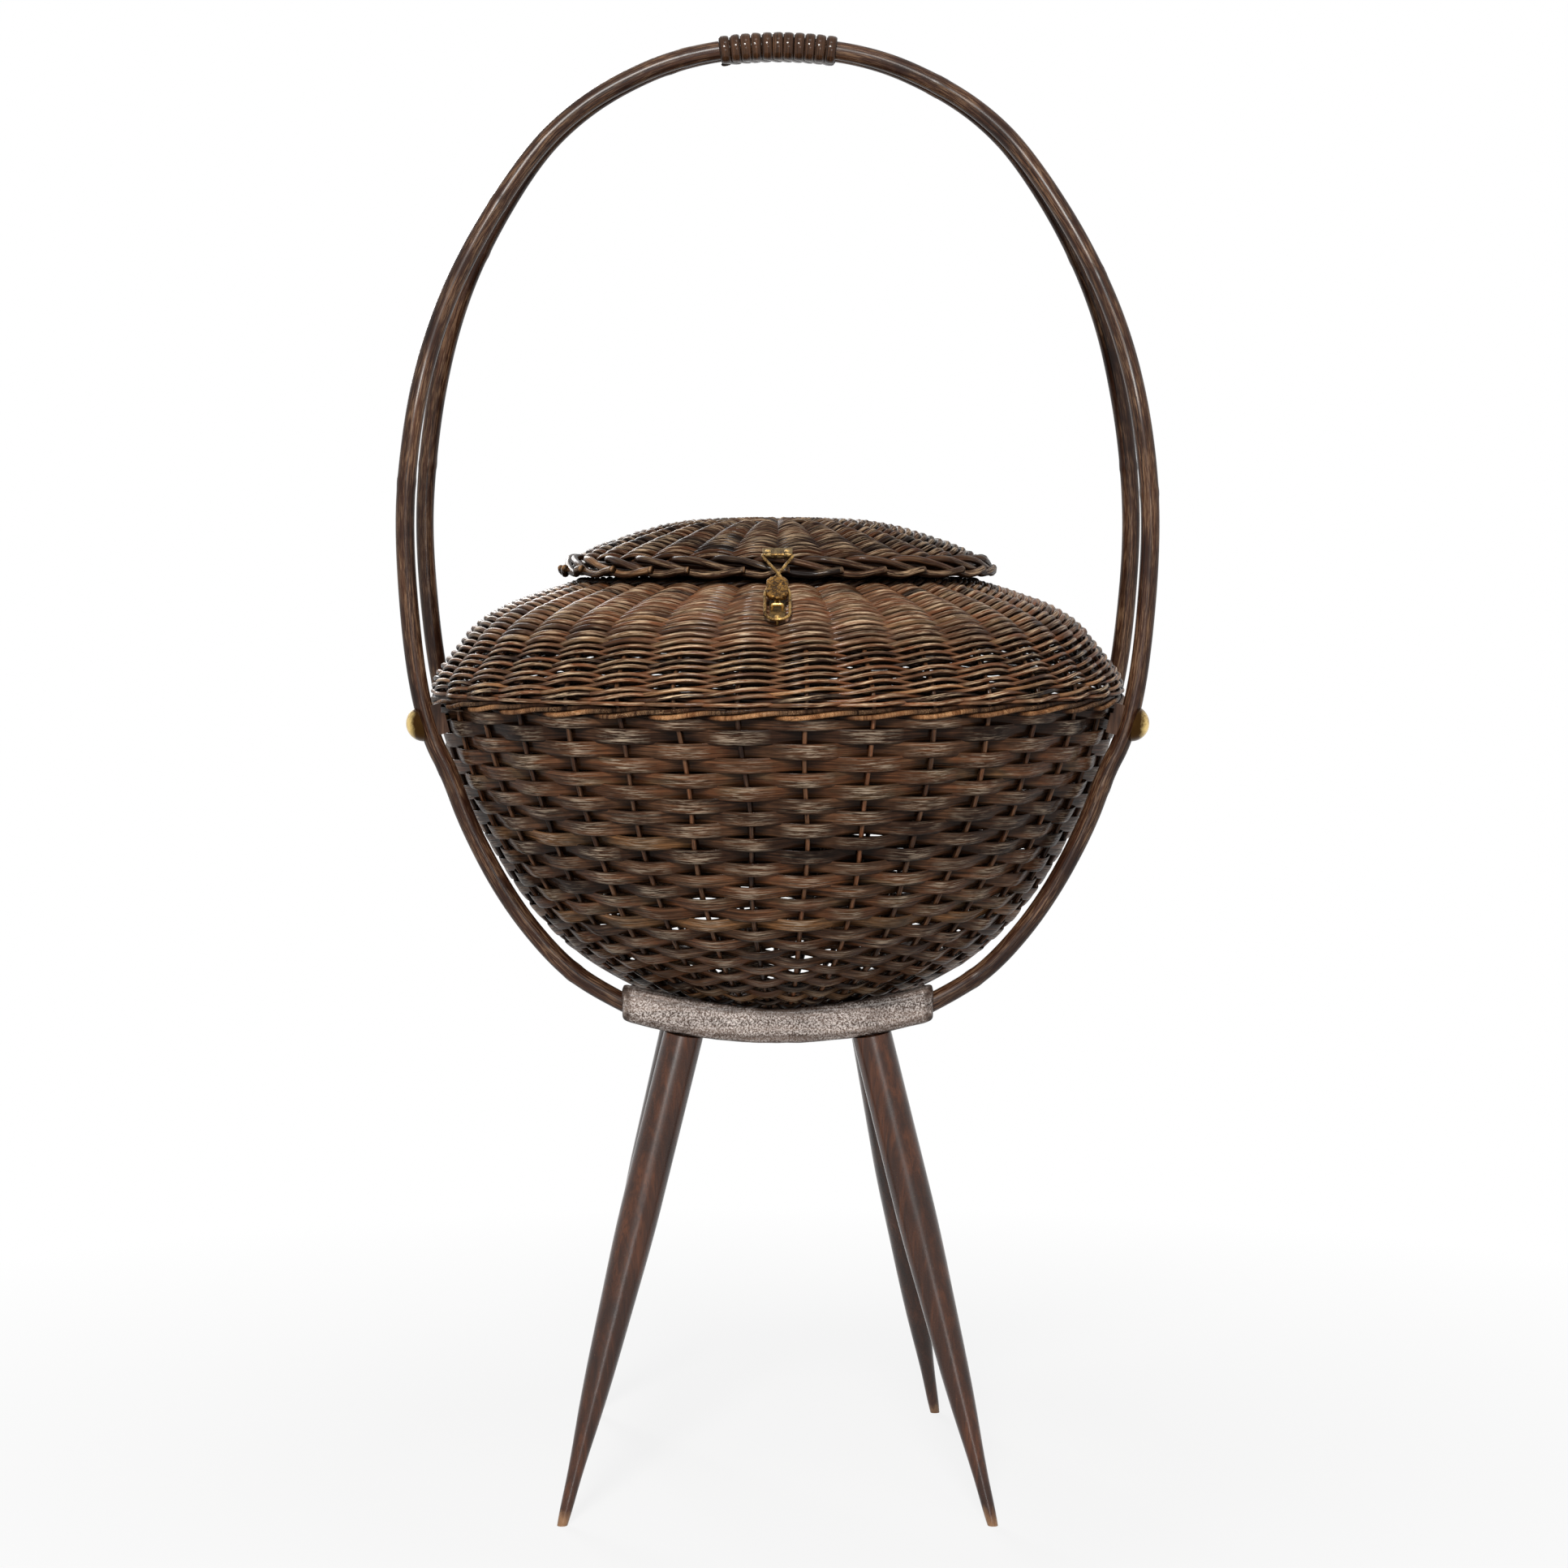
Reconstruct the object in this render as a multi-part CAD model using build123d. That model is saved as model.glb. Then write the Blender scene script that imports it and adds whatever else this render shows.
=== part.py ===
from build123d import *
from math import atan2, cos, radians, sin, sqrt, tan
import os

# Round, lidded sewing basket of woven cane. Two bent cane hoops run up from a low wooden stand,
# past the sides of the basket, and meet over it as a carrying handle.
# Frame: millimetres, +Z up, floor at Z = 0, basket axis on Z, clasp towards -Y, lid hinge
# towards +Y. Woven pieces are closed shells with the outer shape and wall of the weave.

# ---- clearances ----------------------------------------------------------------------------
weave_gap = 0.1         # pieces of the basket that lie against each other
seat_gap = 0.3          # stand under the basket, lid on the basket
fit_gap = 0.05          # radial, pegs and screws in their holes
pivot_gap = 0.08        # radial, clasp wire in its knuckles

# ---- basket --------------------------------------------------------------------------------
base_height = 282.0     # floor to underside of the base
base_radius = 62.0
base_thickness = 6.0
bowl_height = 181.0     # underside of the base to the rim band
rim_radius = 207.5      # outside of the rim band
band_height = 8.0
band_wall = 7.0
bowl_inset = 2.0        # bowl's top edge inside the outside of the band
bowl_wall = 5.0
shoulder_height = 66.0  # rim band to the opening
shoulder_wall = 4.0
opening_radius = 114.0  # clear opening
opening_rod = 7.0       # thickness of the border round the opening

# ---- lid -----------------------------------------------------------------------------------
lid_overhang = 14.0     # lid's edge outside the clear opening
border_height = 12.0
border_round = 5.0
dome_height = 23.0
dome_wall = 3.5
dome_inset = 8.0        # edge of the dome inside the lid's edge

# ---- hoops ---------------------------------------------------------------------------------
hoop_top_height = 853.0  # floor to the hoops' centreline at the top
hoop_diameter = 11.0
hoop_bulge = 9.1        # widest part of the hoops outside the rim band
hoop_spread = 68.0      # hoop's distance from the middle plane, at the basket and the stand
hoop_top_gap = 0.5      # between the two hoops under the binding
crown_radius = 230.0    # curve of the hoops under the binding
crown_half_width = 38.0
crown_run = 22.0        # straight stretch after the crown
screw_run = 13.0        # half of the straight run that the screw goes through
entry_angle = 26.0      # slope of the hoop's end where it enters the board, degrees
entry_run = 14.5        # straight stretch outside the board
mortise_depth = 16.0
wrap_count = 11
wrap_width = 5.9
wrap_step = 6.3
wrap_thickness = 2.7

# ---- hoop fixings --------------------------------------------------------------------------
screw_drop = 7.5        # underside of the rim band to the screws' middle
screw_lean = 16.3       # hoop's lean from vertical at the screw, degrees
spacer_thickness = 4.0  # between hoop and bowl
spacer_width = 9.0
spacer_length = 18.0
screw_diameter = 4.0
head_diameter = 20.0
head_height = 7.0
backing_width = 16.0
backing_length = 14.0
backing_thickness = 5.0
nut_width = 8.0
nut_thickness = 3.2

# ---- stand ---------------------------------------------------------------------------------
board_thickness = 21.0
board_half_length = 91.0
board_mid_top = 8.7     # these four heights are above the underside of the base
board_mid_bottom = -14.0
board_end_top = 20.0
board_end_bottom = -0.4
board_chamfer = 3.0
rail_offset = 40.0
rail_width = 14.0
rail_height = 12.0
rail_peg_diameter = 8.0
rail_peg_length = 9.0
leg_radius = 11.6
foot_radius = 2.9
leg_peg_radius = 5.0
leg_peg_length = 12.0
# x of the leg's top, then x and y of its foot
leg_places = {
    "leg_front_left": (-55.0, -123.0, -141.0),
    "leg_front_right": (55.0, 123.0, -141.0),
    "leg_rear_left": (-58.0, -120.0, 141.0),
    "leg_rear_right": (54.0, 101.0, 141.0),
}

# ---- clasp and hinge -----------------------------------------------------------------------
wire_radius = 0.9
knuckle_radius = 1.9
knuckle_inner = 3.5     # knuckles run from here ...
knuckle_outer = 7.0     # ... to here, each side of the middle
clasp_reach = 1.5       # pivot outside the lid's edge
clasp_slope = 36.0      # loop below horizontal, degrees
loop_half_width = 7.0
wire_turn_out = 2.4     # corner of the wire outside its knuckle
wire_corner = 1.4       # bend radius there
wire_bend = 12.0        # largest bend radius further down
loop_length = 60.0
loop_crossing = 18.0    # from the pivot to where the wire crosses itself
tab_start = 21.5
tab_half_width = 6.25
tab_length = 20.0
tab_thickness = 3.2
plate_thickness = 1.0
plate_half_front = 7.6
plate_half_back = 8.6
plate_rise = 0.53       # slope of the plate's back, laid on the dome
plate_past_border = 2.2  # back edge inside the lid's border
plate_rivet_inset = 3.2  # rivets from the back edge
plate_bend = 0.6        # bend outside the edge of the dome
plate_waist = 14.0      # from the pivot to where the plate is widest
catch_half_width = 4.4
catch_length = 23.0
catch_share = 0.6       # place of the catch's middle along the shoulder's outline
staple_height = 3.2
rivet_radius = 0.8
rivet_head_radius = 1.7
rivet_head_height = 0.9
ring_bite = 4.1         # rings reach this far past the inside of the opening's border
ring_wire = 1.0
ring_offset = 28.0
hinge_outset = 1.6      # lid's axis outside the lid's edge
hinge_rise = 1.7        # lid's axis above the underside of the lid's border

# ---- places that follow --------------------------------------------------------------------
band_bottom = base_height + bowl_height
band_top = band_bottom + band_height
opening_height = band_top + shoulder_height
screw_height = band_bottom - screw_drop
mouth_radius = opening_radius + opening_rod + weave_gap
lid_radius = opening_radius + lid_overhang
border_width = lid_radius - opening_radius
plate_back_reach = border_width - dome_inset + plate_bend + plate_past_border
rod_centre_height = opening_height - 1.5
lid_bottom = rod_centre_height + opening_rod / 2 + seat_gap
lid_top = lid_bottom + border_height
hoop_radius = hoop_diameter / 2
crown_offset = hoop_radius + hoop_top_gap / 2
hinge_y = lid_radius + hinge_outset
ring_radius = hinge_y - opening_radius - ring_bite
hinge_z = lid_bottom + hinge_rise


def between(low, high, share):
    return low + (high - low) * share


# ---- woven shells --------------------------------------------------------------------------
# Outlines are curves in the XZ plane: shares of the way out, and of the way up.
bowl_shape = [(0.0, 0.0115), (0.153, 0.0635), (0.474, 0.221), (0.77, 0.53), (0.969, 0.895), (1.0, 1.0)]
shoulder_shape = [(0.0, 0.0), (0.02, 0.135), (0.098, 0.287), (0.365, 0.666), (0.706, 0.879), (1.0, 1.0)]
dome_shape = [(0.0, 0.0), (0.075, 0.2), (0.2, 0.44), (0.508, 0.87), (0.72, 0.965), (1.0, 1.0)]


def outline(shape, start_radius, end_radius, start_height, end_height, end_tangent=None):
    points = [
        (between(start_radius, end_radius, out), 0, between(start_height, end_height, up))
        for out, up in shape
    ]
    if end_tangent is None:
        return Spline(*points)
    first = Vector(points[1]) - Vector(points[0])
    return Spline(*points, tangents=[first, end_tangent])


def moved_curve(curve, distance):
    """The curve moved sideways, to the left of its direction."""
    points = []
    for step in range(13):
        along = curve % (step / 12)
        left = Vector(-along.Z, 0, along.X)
        point = curve @ (step / 12) + left * distance
        points.append((max(point.X, 0), 0, point.Z))
    return Spline(*points)


def shell(curve, wall):
    inner = moved_curve(curve, wall)
    edges = [curve, Line(curve @ 1, inner @ 1), inner, Line(inner @ 0, curve @ 0)]
    return revolve(make_face(edges), Axis.Z)


def post(radius, bottom, top):
    """A cylinder along Z."""
    align = (Align.CENTER, Align.CENTER, Align.MIN)
    return Pos(0, 0, bottom) * Cylinder(radius, top - bottom, align=align)


bowl_curve = outline(bowl_shape, base_radius, rim_radius - bowl_inset, base_height, band_bottom - weave_gap)
shoulder_curve = outline(shoulder_shape, rim_radius, mouth_radius, band_top + weave_gap, opening_height)
dome_curve = outline(
    dome_shape, lid_radius - dome_inset, 0, lid_top + weave_gap, lid_top + dome_height, (-1, 0, 0)
)


def bowl_body(outward):
    """Solid below the band, inside the bowl's outline moved outward."""
    curve = moved_curve(bowl_curve, -outward)
    low = curve @ 0
    high = curve @ 1
    top = Vector(0, 0, high.Z)
    bottom = Vector(0, 0, low.Z)
    face = make_face([curve, Line(high, top), Line(top, bottom), Line(bottom, low)])
    return revolve(face, Axis.Z)


def make_base():
    base = post(base_radius - weave_gap, base_height, base_height + base_thickness)
    return chamfer(base.edges(), 1.2)


def make_bowl():
    bowl = shell(bowl_curve, bowl_wall)
    hole = post(base_radius, base_height - 1, base_height + bowl_wall * 4)
    too_high = post(rim_radius * 2, band_bottom - weave_gap, band_top)
    return bowl - hole - too_high


def make_band():
    band = post(rim_radius, band_bottom, band_top) - post(rim_radius - band_wall, band_bottom, band_top)
    outer = band.edges().filter_by(GeomType.CIRCLE).group_by(SortBy.RADIUS)[-1]
    return fillet(outer, band_wall / 3)


def make_shoulder():
    shoulder = shell(shoulder_curve, shoulder_wall)
    rod = opening_rod_solid(weave_gap)
    too_low = post(rim_radius * 2, band_bottom, band_top + weave_gap)
    return shoulder - rod - too_low


def opening_rod_solid(extra=0.0):
    rod_radius = opening_rod / 2
    return Pos(0, 0, rod_centre_height) * Torus(opening_radius + rod_radius, rod_radius + extra)


def make_lid_border():
    section = Pos(lid_radius - border_width / 2, lid_bottom + border_height / 2)
    face = Plane.XZ * (section * RectangleRounded(border_width, border_height, border_round))
    return revolve(face, Axis.Z)


def make_dome():
    dome = shell(dome_curve, dome_wall)
    return dome - post(lid_radius, lid_bottom, lid_top + weave_gap)


# ---- hoops ---------------------------------------------------------------------------------
# Above the screw: share of the hoop's widest half width, share of the way up to the top,
# and share of the way from the hoops' place at the top to their spread at the basket.
upper_shape = [
    (0.9834, 0.090, 0.960),
    (1.003, 0.232, 0.910),
    (0.998, 0.339, 0.894),
    (0.967, 0.469, 0.810),
    (0.909, 0.592, 0.545),
    (0.816, 0.708, 0.300),
    (0.678, 0.830, 0.135),
    (0.570, 0.893, 0.078),
    (0.443, 0.941, 0.037),
]
# Below the screw: shares of the way out and up from the stand to the screw's run.
lower_shape = [(0.910, 0.890), (0.790, 0.665), (0.545, 0.360), (0.2475, 0.118)]

hoop_half_width = rim_radius + hoop_bulge
screw_reach = rim_radius - bowl_inset + spacer_thickness + hoop_radius
screw_x = sqrt(screw_reach**2 - hoop_spread**2)
board_end_middle = base_height + (board_end_top + board_end_bottom) / 2
run_direction = Vector(sin(radians(screw_lean)), 0, cos(radians(screw_lean)))
entry_direction = Vector(cos(radians(entry_angle)), 0, sin(radians(entry_angle)))


def hoop_flank():
    """Points of one flank, from the end of the crown down to the end in the board."""
    crown_angle = atan2(crown_half_width, sqrt(crown_radius**2 - crown_half_width**2))
    crown_drop = crown_radius * (1 - cos(crown_angle))
    crown_end = Vector(crown_half_width, crown_offset, hoop_top_height - crown_drop)
    points = [crown_end, crown_end + Vector(cos(crown_angle), 0, -sin(crown_angle)) * crown_run]
    screw_middle = Vector(screw_x, hoop_spread, screw_height)
    run_top = screw_middle + run_direction * screw_run
    run_bottom = screw_middle - run_direction * screw_run
    for out, up, spread in reversed(upper_shape):
        y = between(crown_offset, hoop_spread, spread)
        points.append(Vector(hoop_half_width * out, y, between(run_top.Z, hoop_top_height, up)))
    points += [run_top, run_bottom]
    entry = Vector(board_half_length, hoop_spread, board_end_middle)
    bend = entry + entry_direction * entry_run
    for out, up in lower_shape:
        x = between(bend.X, run_bottom.X, out)
        points.append(Vector(x, hoop_spread, between(bend.Z, run_bottom.Z, up)))
    points += [bend, entry - entry_direction * mortise_depth]
    return points


def rounded_path(points):
    """Straight runs joined by the largest tangent arcs that fit."""
    radii = []
    for before, corner, after in zip(points, points[1:], points[2:]):
        run = min((corner - before).length, (after - corner).length)
        turn = radians((corner - before).get_angle(after - corner))
        radii.append(0.45 * run / tan(turn / 2))
    return FilletPolyline(*points, radius=radii)


def hoop_path(side):
    flank = [Vector(p.X, side * p.Y, p.Z) for p in hoop_flank()]
    mirrored = [Vector(-p.X, p.Y, p.Z) for p in flank]
    top = Vector(0, side * crown_offset, hoop_top_height)
    crown = ThreePointArc(mirrored[0], top, flank[0])
    left = rounded_path(list(reversed(mirrored)))
    right = rounded_path(flank)
    return Wire(left.edges() + crown.edges() + right.edges())


def hoop_tube(side, radius):
    path = hoop_path(side)
    section = Plane(origin=path @ 0, z_dir=path % 0) * Circle(radius)
    return sweep(section, path)


def make_binding():
    half_gap = hoop_top_gap / 2
    wraps = []
    for number in range(wrap_count):
        angle = (number - (wrap_count - 1) / 2) * wrap_step / crown_radius
        inner = SlotCenterToCenter(2 * crown_offset, hoop_diameter + 2 * weave_gap)
        outer = SlotCenterToCenter(2 * crown_offset, hoop_diameter + 2 * (weave_gap + wrap_thickness))
        wrap = extrude(outer - inner, wrap_width / 2, both=True)
        centre = Plane(
            origin=(crown_radius * sin(angle), 0, hoop_top_height - crown_radius * (1 - cos(angle))),
            x_dir=(0, 1, 0),
            z_dir=(cos(angle), 0, -sin(angle)),
        )
        wraps.append(centre * wrap)
    return Compound(wraps)


# ---- hoop fixings --------------------------------------------------------------------------
def screw_planes():
    """At each screw: origin on the hoop's centreline, Z outward, X along the hoop."""
    planes = []
    for side_x in (-1, 1):
        for side_y in (-1, 1):
            origin = Vector(side_x * screw_x, side_y * hoop_spread, screw_height)
            along = Vector(side_x * run_direction.X, 0, run_direction.Z)
            outward = Vector(origin.X, origin.Y, 0).normalized()
            outward = (outward - along * outward.dot(along)).normalized()
            planes.append(Plane(origin=origin, x_dir=along, z_dir=outward))
    return planes


lean = radians(screw_lean)
bowl_depth = (spacer_thickness + hoop_radius + bowl_wall) / cos(lean)
backing_face = bowl_depth + backing_thickness
screw_end = backing_face + nut_thickness + 1.5


def screw_hole():
    return post(screw_diameter / 2 + fit_gap, -screw_end - 2, hoop_radius + 2)


def domed_head(radius, height):
    """A round head with its flat side on Z = 0."""
    ball_radius = (radius**2 + height**2) / (2 * height)
    ball = Pos(0, 0, height - ball_radius) * Sphere(ball_radius)
    return ball & post(radius * 2, 0, height)


def make_screw():
    seat = hoop_radius + fit_gap
    head = Pos(0, 0, seat) * domed_head(head_diameter / 2, head_height)
    return head + post(screw_diameter / 2, -screw_end, seat + 1)


def make_spacer():
    bottom = -bowl_depth
    align = (Align.CENTER, Align.CENTER, Align.MIN)
    block = Pos(0, 0, bottom) * Box(spacer_length, spacer_width, -bottom, align=align)
    return block - screw_hole()


def make_backing():
    align = (Align.CENTER, Align.CENTER, Align.MIN)
    depth = backing_thickness + bowl_wall
    block = Pos(0, 0, -backing_face) * Box(backing_length, backing_width, depth, align=align)
    return block - screw_hole()


def make_nut():
    blank = extrude(RegularPolygon(nut_width / 2, 4, major_radius=False), nut_thickness)
    nut = Pos(0, 0, -backing_face - nut_thickness - fit_gap) * blank
    return nut - screw_hole()


# ---- stand ---------------------------------------------------------------------------------
def board_arc(end_height, middle_height, lift=0.0, reach=1.0):
    """Lower or upper edge of a board, as an arc in the XZ plane."""
    rise = (end_height - middle_height) * reach**2
    half = board_half_length * reach
    low = base_height + middle_height + lift
    return ThreePointArc((-half, 0, low + rise), (0, 0, low), (half, 0, low + rise))


def make_board(side):
    top = board_arc(board_end_top, board_mid_top)
    bottom = board_arc(board_end_bottom, board_mid_bottom)
    face = make_face([top, bottom, Line(top @ 0, bottom @ 0), Line(top @ 1, bottom @ 1)])
    board = extrude(Pos(0, side * hoop_spread, 0) * face, board_thickness / 2, dir=(0, 1, 0), both=True)
    outside = board.faces().sort_by(Axis.Y)[-1 if side > 0 else 0]
    return chamfer(outside.edges(), board_chamfer)


def under_board_block(side):
    """Everything above the underside of a board, to scribe the legs to it."""
    arc = board_arc(board_end_bottom, board_mid_bottom, -fit_gap, 1.3)
    roof = base_height + board_end_top * 3
    left = Vector(arc @ 0)
    right = Vector(arc @ 1)
    left_up = Vector(left.X, 0, roof)
    right_up = Vector(right.X, 0, roof)
    face = make_face([arc, Line(left, left_up), Line(left_up, right_up), Line(right_up, right)])
    return extrude(Pos(0, side * hoop_spread, 0) * face, board_thickness * 2, dir=(0, 1, 0), both=True)


def leg_plane(name):
    """Origin at the foot, Z up along the leg, and the leg's length to the board."""
    top_x, foot_x, foot_y = leg_places[name]
    side = 1 if foot_y > 0 else -1
    rise = (board_end_bottom - board_mid_bottom) * (top_x / board_half_length) ** 2
    top = Vector(top_x, side * hoop_spread, base_height + board_mid_bottom + rise)
    foot = Vector(foot_x, foot_y, 0)
    return Plane(origin=foot, z_dir=(top - foot).normalized()), (top - foot).length, side


def leg_peg(length, extra=0.0):
    return post(leg_peg_radius + extra, length - leg_peg_length, length + leg_peg_length + extra)


def make_leg(name):
    plane, length, side = leg_plane(name)
    span = leg_radius - foot_radius
    taper = Spline(
        (foot_radius, 0, 0),
        (foot_radius + span * 0.14, 0, length * 0.085),
        (foot_radius + span * 0.47, 0, length * 0.23),
        (foot_radius + span * 0.82, 0, length * 0.46),
        (leg_radius, 0, length * 0.66),
        tangents=[(0.1, 0, 1), (0, 0, 1)],
    )
    over = leg_radius * 1.5
    low = Vector(0, 0, -foot_radius)
    rim = Vector(foot_radius - 0.2, 0, -foot_radius)
    high = Vector(leg_radius, 0, length + over)
    top = Vector(0, 0, length + over)
    edges = [
        Line(low, rim),
        Line(rim, taper @ 0),
        taper,
        Line(taper @ 1, high),
        Line(high, top),
        Line(top, low),
    ]
    leg = plane * revolve(make_face(edges), Axis.Z)
    leg = leg - under_board_block(side) + plane * leg_peg(length)
    return split(leg, Plane.XY, keep=Keep.TOP)


def rail_peg(extra=0.0):
    half = hoop_spread - board_thickness / 2 + rail_peg_length + extra
    return Rot(90, 0, 0) * Cylinder(rail_peg_diameter / 2 + extra, 2 * half)


def rail_place(side):
    return Pos(side * rail_offset, 0, base_height - seat_gap - rail_height / 2)


def make_rail(side):
    length = 2 * hoop_spread - board_thickness - 2 * fit_gap
    rail = chamfer(Box(rail_width, length, rail_height).edges().filter_by(Axis.Y), 1.5)
    return rail_place(side) * (rail + rail_peg())


# ---- clasp ---------------------------------------------------------------------------------
# The loop's own frame: X across, Y down the slope along the loop, Z away from the basket.
clasp_pivot = Vector(0, -(lid_radius + clasp_reach), lid_top + knuckle_radius + weave_gap)
slope = radians(clasp_slope)
loop_plane = Plane(origin=clasp_pivot, x_dir=(-1, 0, 0), z_dir=(0, -sin(slope), cos(slope)))


def clasp_wire(radius):
    turn_in = knuckle_outer + wire_turn_out
    half = [
        Vector(0.1, 0, 0),
        Vector(turn_in, 0, 0),
        Vector(0, loop_crossing, 1),
        Vector(-4, loop_crossing + 8, 0),
        Vector(-loop_half_width, loop_crossing + 18, 0),
        Vector(-loop_half_width, loop_length, 0),
    ]
    other = [Vector(-p.X, p.Y, -p.Z) for p in reversed(half)]
    points = half + other
    radii = []
    for before, corner, after in zip(points, points[1:], points[2:]):
        run = min((corner - before).length, (after - corner).length)
        turn = radians((corner - before).get_angle(after - corner))
        radii.append(min(0.45 * run / tan(turn / 2), wire_bend))
    radii[0] = wire_corner
    radii[-1] = wire_corner
    path = FilletPolyline(*points, radius=radii)
    section = Plane(origin=path @ 0, z_dir=path % 0) * Circle(radius)
    return loop_plane * sweep(section, path)


def make_tab():
    middle = tab_start + tab_length / 2
    shape = Pos(0, middle) * RectangleRounded(tab_half_width * 2, tab_length, tab_half_width - 0.5)
    tab = extrude(shape, tab_thickness / 2, both=True)
    tab = fillet(tab.edges().group_by(Axis.Z)[-1], tab_thickness / 4)
    return loop_plane * tab - clasp_wire(wire_radius + fit_gap)


def plate_section():
    """Side view of the clasp plate: over the border, then up the dome."""
    front = clasp_pivot.Y
    bend = -(lid_radius - dome_inset + plate_bend)
    back = bend + plate_back_reach
    low = lid_top + 2 * weave_gap
    rise = plate_back_reach * plate_rise
    return Polygon(
        (front, low),
        (bend, low),
        (back, low + rise),
        (back, low + rise + plate_thickness),
        (bend, low + plate_thickness),
        (front, low + plate_thickness),
        align=None,
    )


def make_clasp_plate():
    strip = extrude(Plane.YZ * plate_section(), plate_half_back, both=True)
    front = clasp_pivot.Y
    back = front + clasp_reach + dome_inset + plate_back_reach + 5
    slot = front + knuckle_radius * 1.6
    face = Polygon(
        (-plate_half_front, front),
        (-knuckle_inner, front),
        (-knuckle_inner, slot),
        (knuckle_inner, slot),
        (knuckle_inner, front),
        (plate_half_front, front),
        (plate_half_front - 1, slot),
        (plate_half_back, front + plate_waist),
        (plate_half_back, back),
        (-plate_half_back, back),
        (-plate_half_back, front + plate_waist),
        (-plate_half_front + 1, slot),
        align=None,
    )
    plate = strip & (Pos(0, 0, lid_bottom) * extrude(face, border_height * 3))
    knuckle_length = knuckle_outer - knuckle_inner
    for side in (-1, 1):
        middle = side * (knuckle_inner + knuckle_length / 2)
        place = Pos(middle, clasp_pivot.Y, clasp_pivot.Z) * Rot(0, 90, 0)
        plate = plate + place * Cylinder(knuckle_radius, knuckle_length)
    bore = Pos(*clasp_pivot) * Rot(0, 90, 0) * Cylinder(wire_radius + pivot_gap, 40)
    return plate - bore


def rivet(depth, extra=0.0):
    """Rivet on a plate's face, Z outward, clinched below the weave."""
    shank = post(rivet_radius + extra, -depth, 0.2)
    if extra:
        return post(rivet_radius + extra, -depth - 2, 2)
    foot = post(rivet_head_radius, -depth - rivet_head_height, -depth)
    return domed_head(rivet_head_radius, rivet_head_height) + shank + foot


clasp_rivet_spots = [(side * 5.5, plate_back_reach - plate_rivet_inset) for side in (-1, 1)]


def clasp_rivet_places():
    """On the sloping back of the clasp plate."""
    bend = -(lid_radius - dome_inset + plate_bend)
    incline = atan2(plate_rise, 1)
    places = []
    for across, up in clasp_rivet_spots:
        y = bend + up * cos(incline)
        z = lid_top + 2 * weave_gap + plate_thickness / cos(incline) + up * sin(incline)
        places.append(Plane(origin=(across, y, z), x_dir=(1, 0, 0), z_dir=(0, -sin(incline), cos(incline))))
    return places


def catch_plane():
    """On the shoulder under the loop's end: X across, Y down the slope, Z outward."""
    point = shoulder_curve @ catch_share
    along = shoulder_curve % catch_share
    outward = Vector(0, -abs(along.Z), abs(along.X)).normalized()
    origin = Vector(0, -point.X, point.Z) + outward * weave_gap * 4
    return Plane(origin=origin, x_dir=(-1, 0, 0), z_dir=outward)


def staple(radius):
    half = catch_half_width - 1.4
    path = FilletPolyline(
        (-half, 0, plate_thickness / 2),
        (-half, 0, staple_height + plate_thickness),
        (half, 0, staple_height + plate_thickness),
        (half, 0, plate_thickness / 2),
        radius=1.2,
    )
    section = Plane(origin=path @ 0, z_dir=path % 0) * Circle(radius)
    return catch_plane() * sweep(section, path)


catch_rivet_spots = [-catch_length / 2 + 2.6, catch_length / 2 - 2.6]


def catch_rivet_places():
    plane = catch_plane()
    return [plane * Pos(0, spot, plate_thickness) for spot in catch_rivet_spots]


def make_catch_plate():
    face = RectangleRounded(2 * catch_half_width, catch_length, 2)
    return catch_plane() * extrude(face, plate_thickness)


def hinge_ring(side, extra=0.0):
    place = Pos(side * ring_offset, hinge_y, hinge_z) * Rot(0, 90, 0)
    return place * Torus(ring_radius, ring_wire + extra)


# ---- assembly ------------------------------------------------------------------------------
nodes = {}

nodes["basket_base"] = make_base()

nodes["rim_band"] = make_band()

shoulder = make_shoulder()
spacers = []
backings = []
screws = []
nuts = []
hoops = {side: hoop_tube(side, hoop_radius) for side in (-1, 1)}
cradles = {side: hoop_tube(side, hoop_radius + fit_gap) for side in (-1, 1)}
bowl = make_bowl()
bowl_outside = bowl_body(seat_gap) + post(rim_radius + seat_gap, band_bottom - bowl_inset, band_top)
bowl_inside = bowl_body(-bowl_wall - weave_gap)
for plane in screw_planes():
    side = 1 if plane.origin.Y > 0 else -1
    hole = plane * screw_hole()
    hoops[side] = hoops[side] - hole
    bowl = bowl - hole
    spacers.append(plane * make_spacer() - bowl_outside - cradles[side])
    backings.append(plane * make_backing() & bowl_inside)
    screws.append(plane * make_screw())
    nuts.append(plane * make_nut())
nodes["front_hoop"] = hoops[-1]
nodes["rear_hoop"] = hoops[1]
nodes["hoop_binding"] = make_binding()
nodes["hoop_spacers"] = Compound(spacers)
nodes["backing_blocks"] = Compound(backings)
nodes["hoop_screws"] = Compound(screws)
nodes["hoop_nuts"] = Compound(nuts)
nodes["bowl_weave"] = bowl

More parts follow.
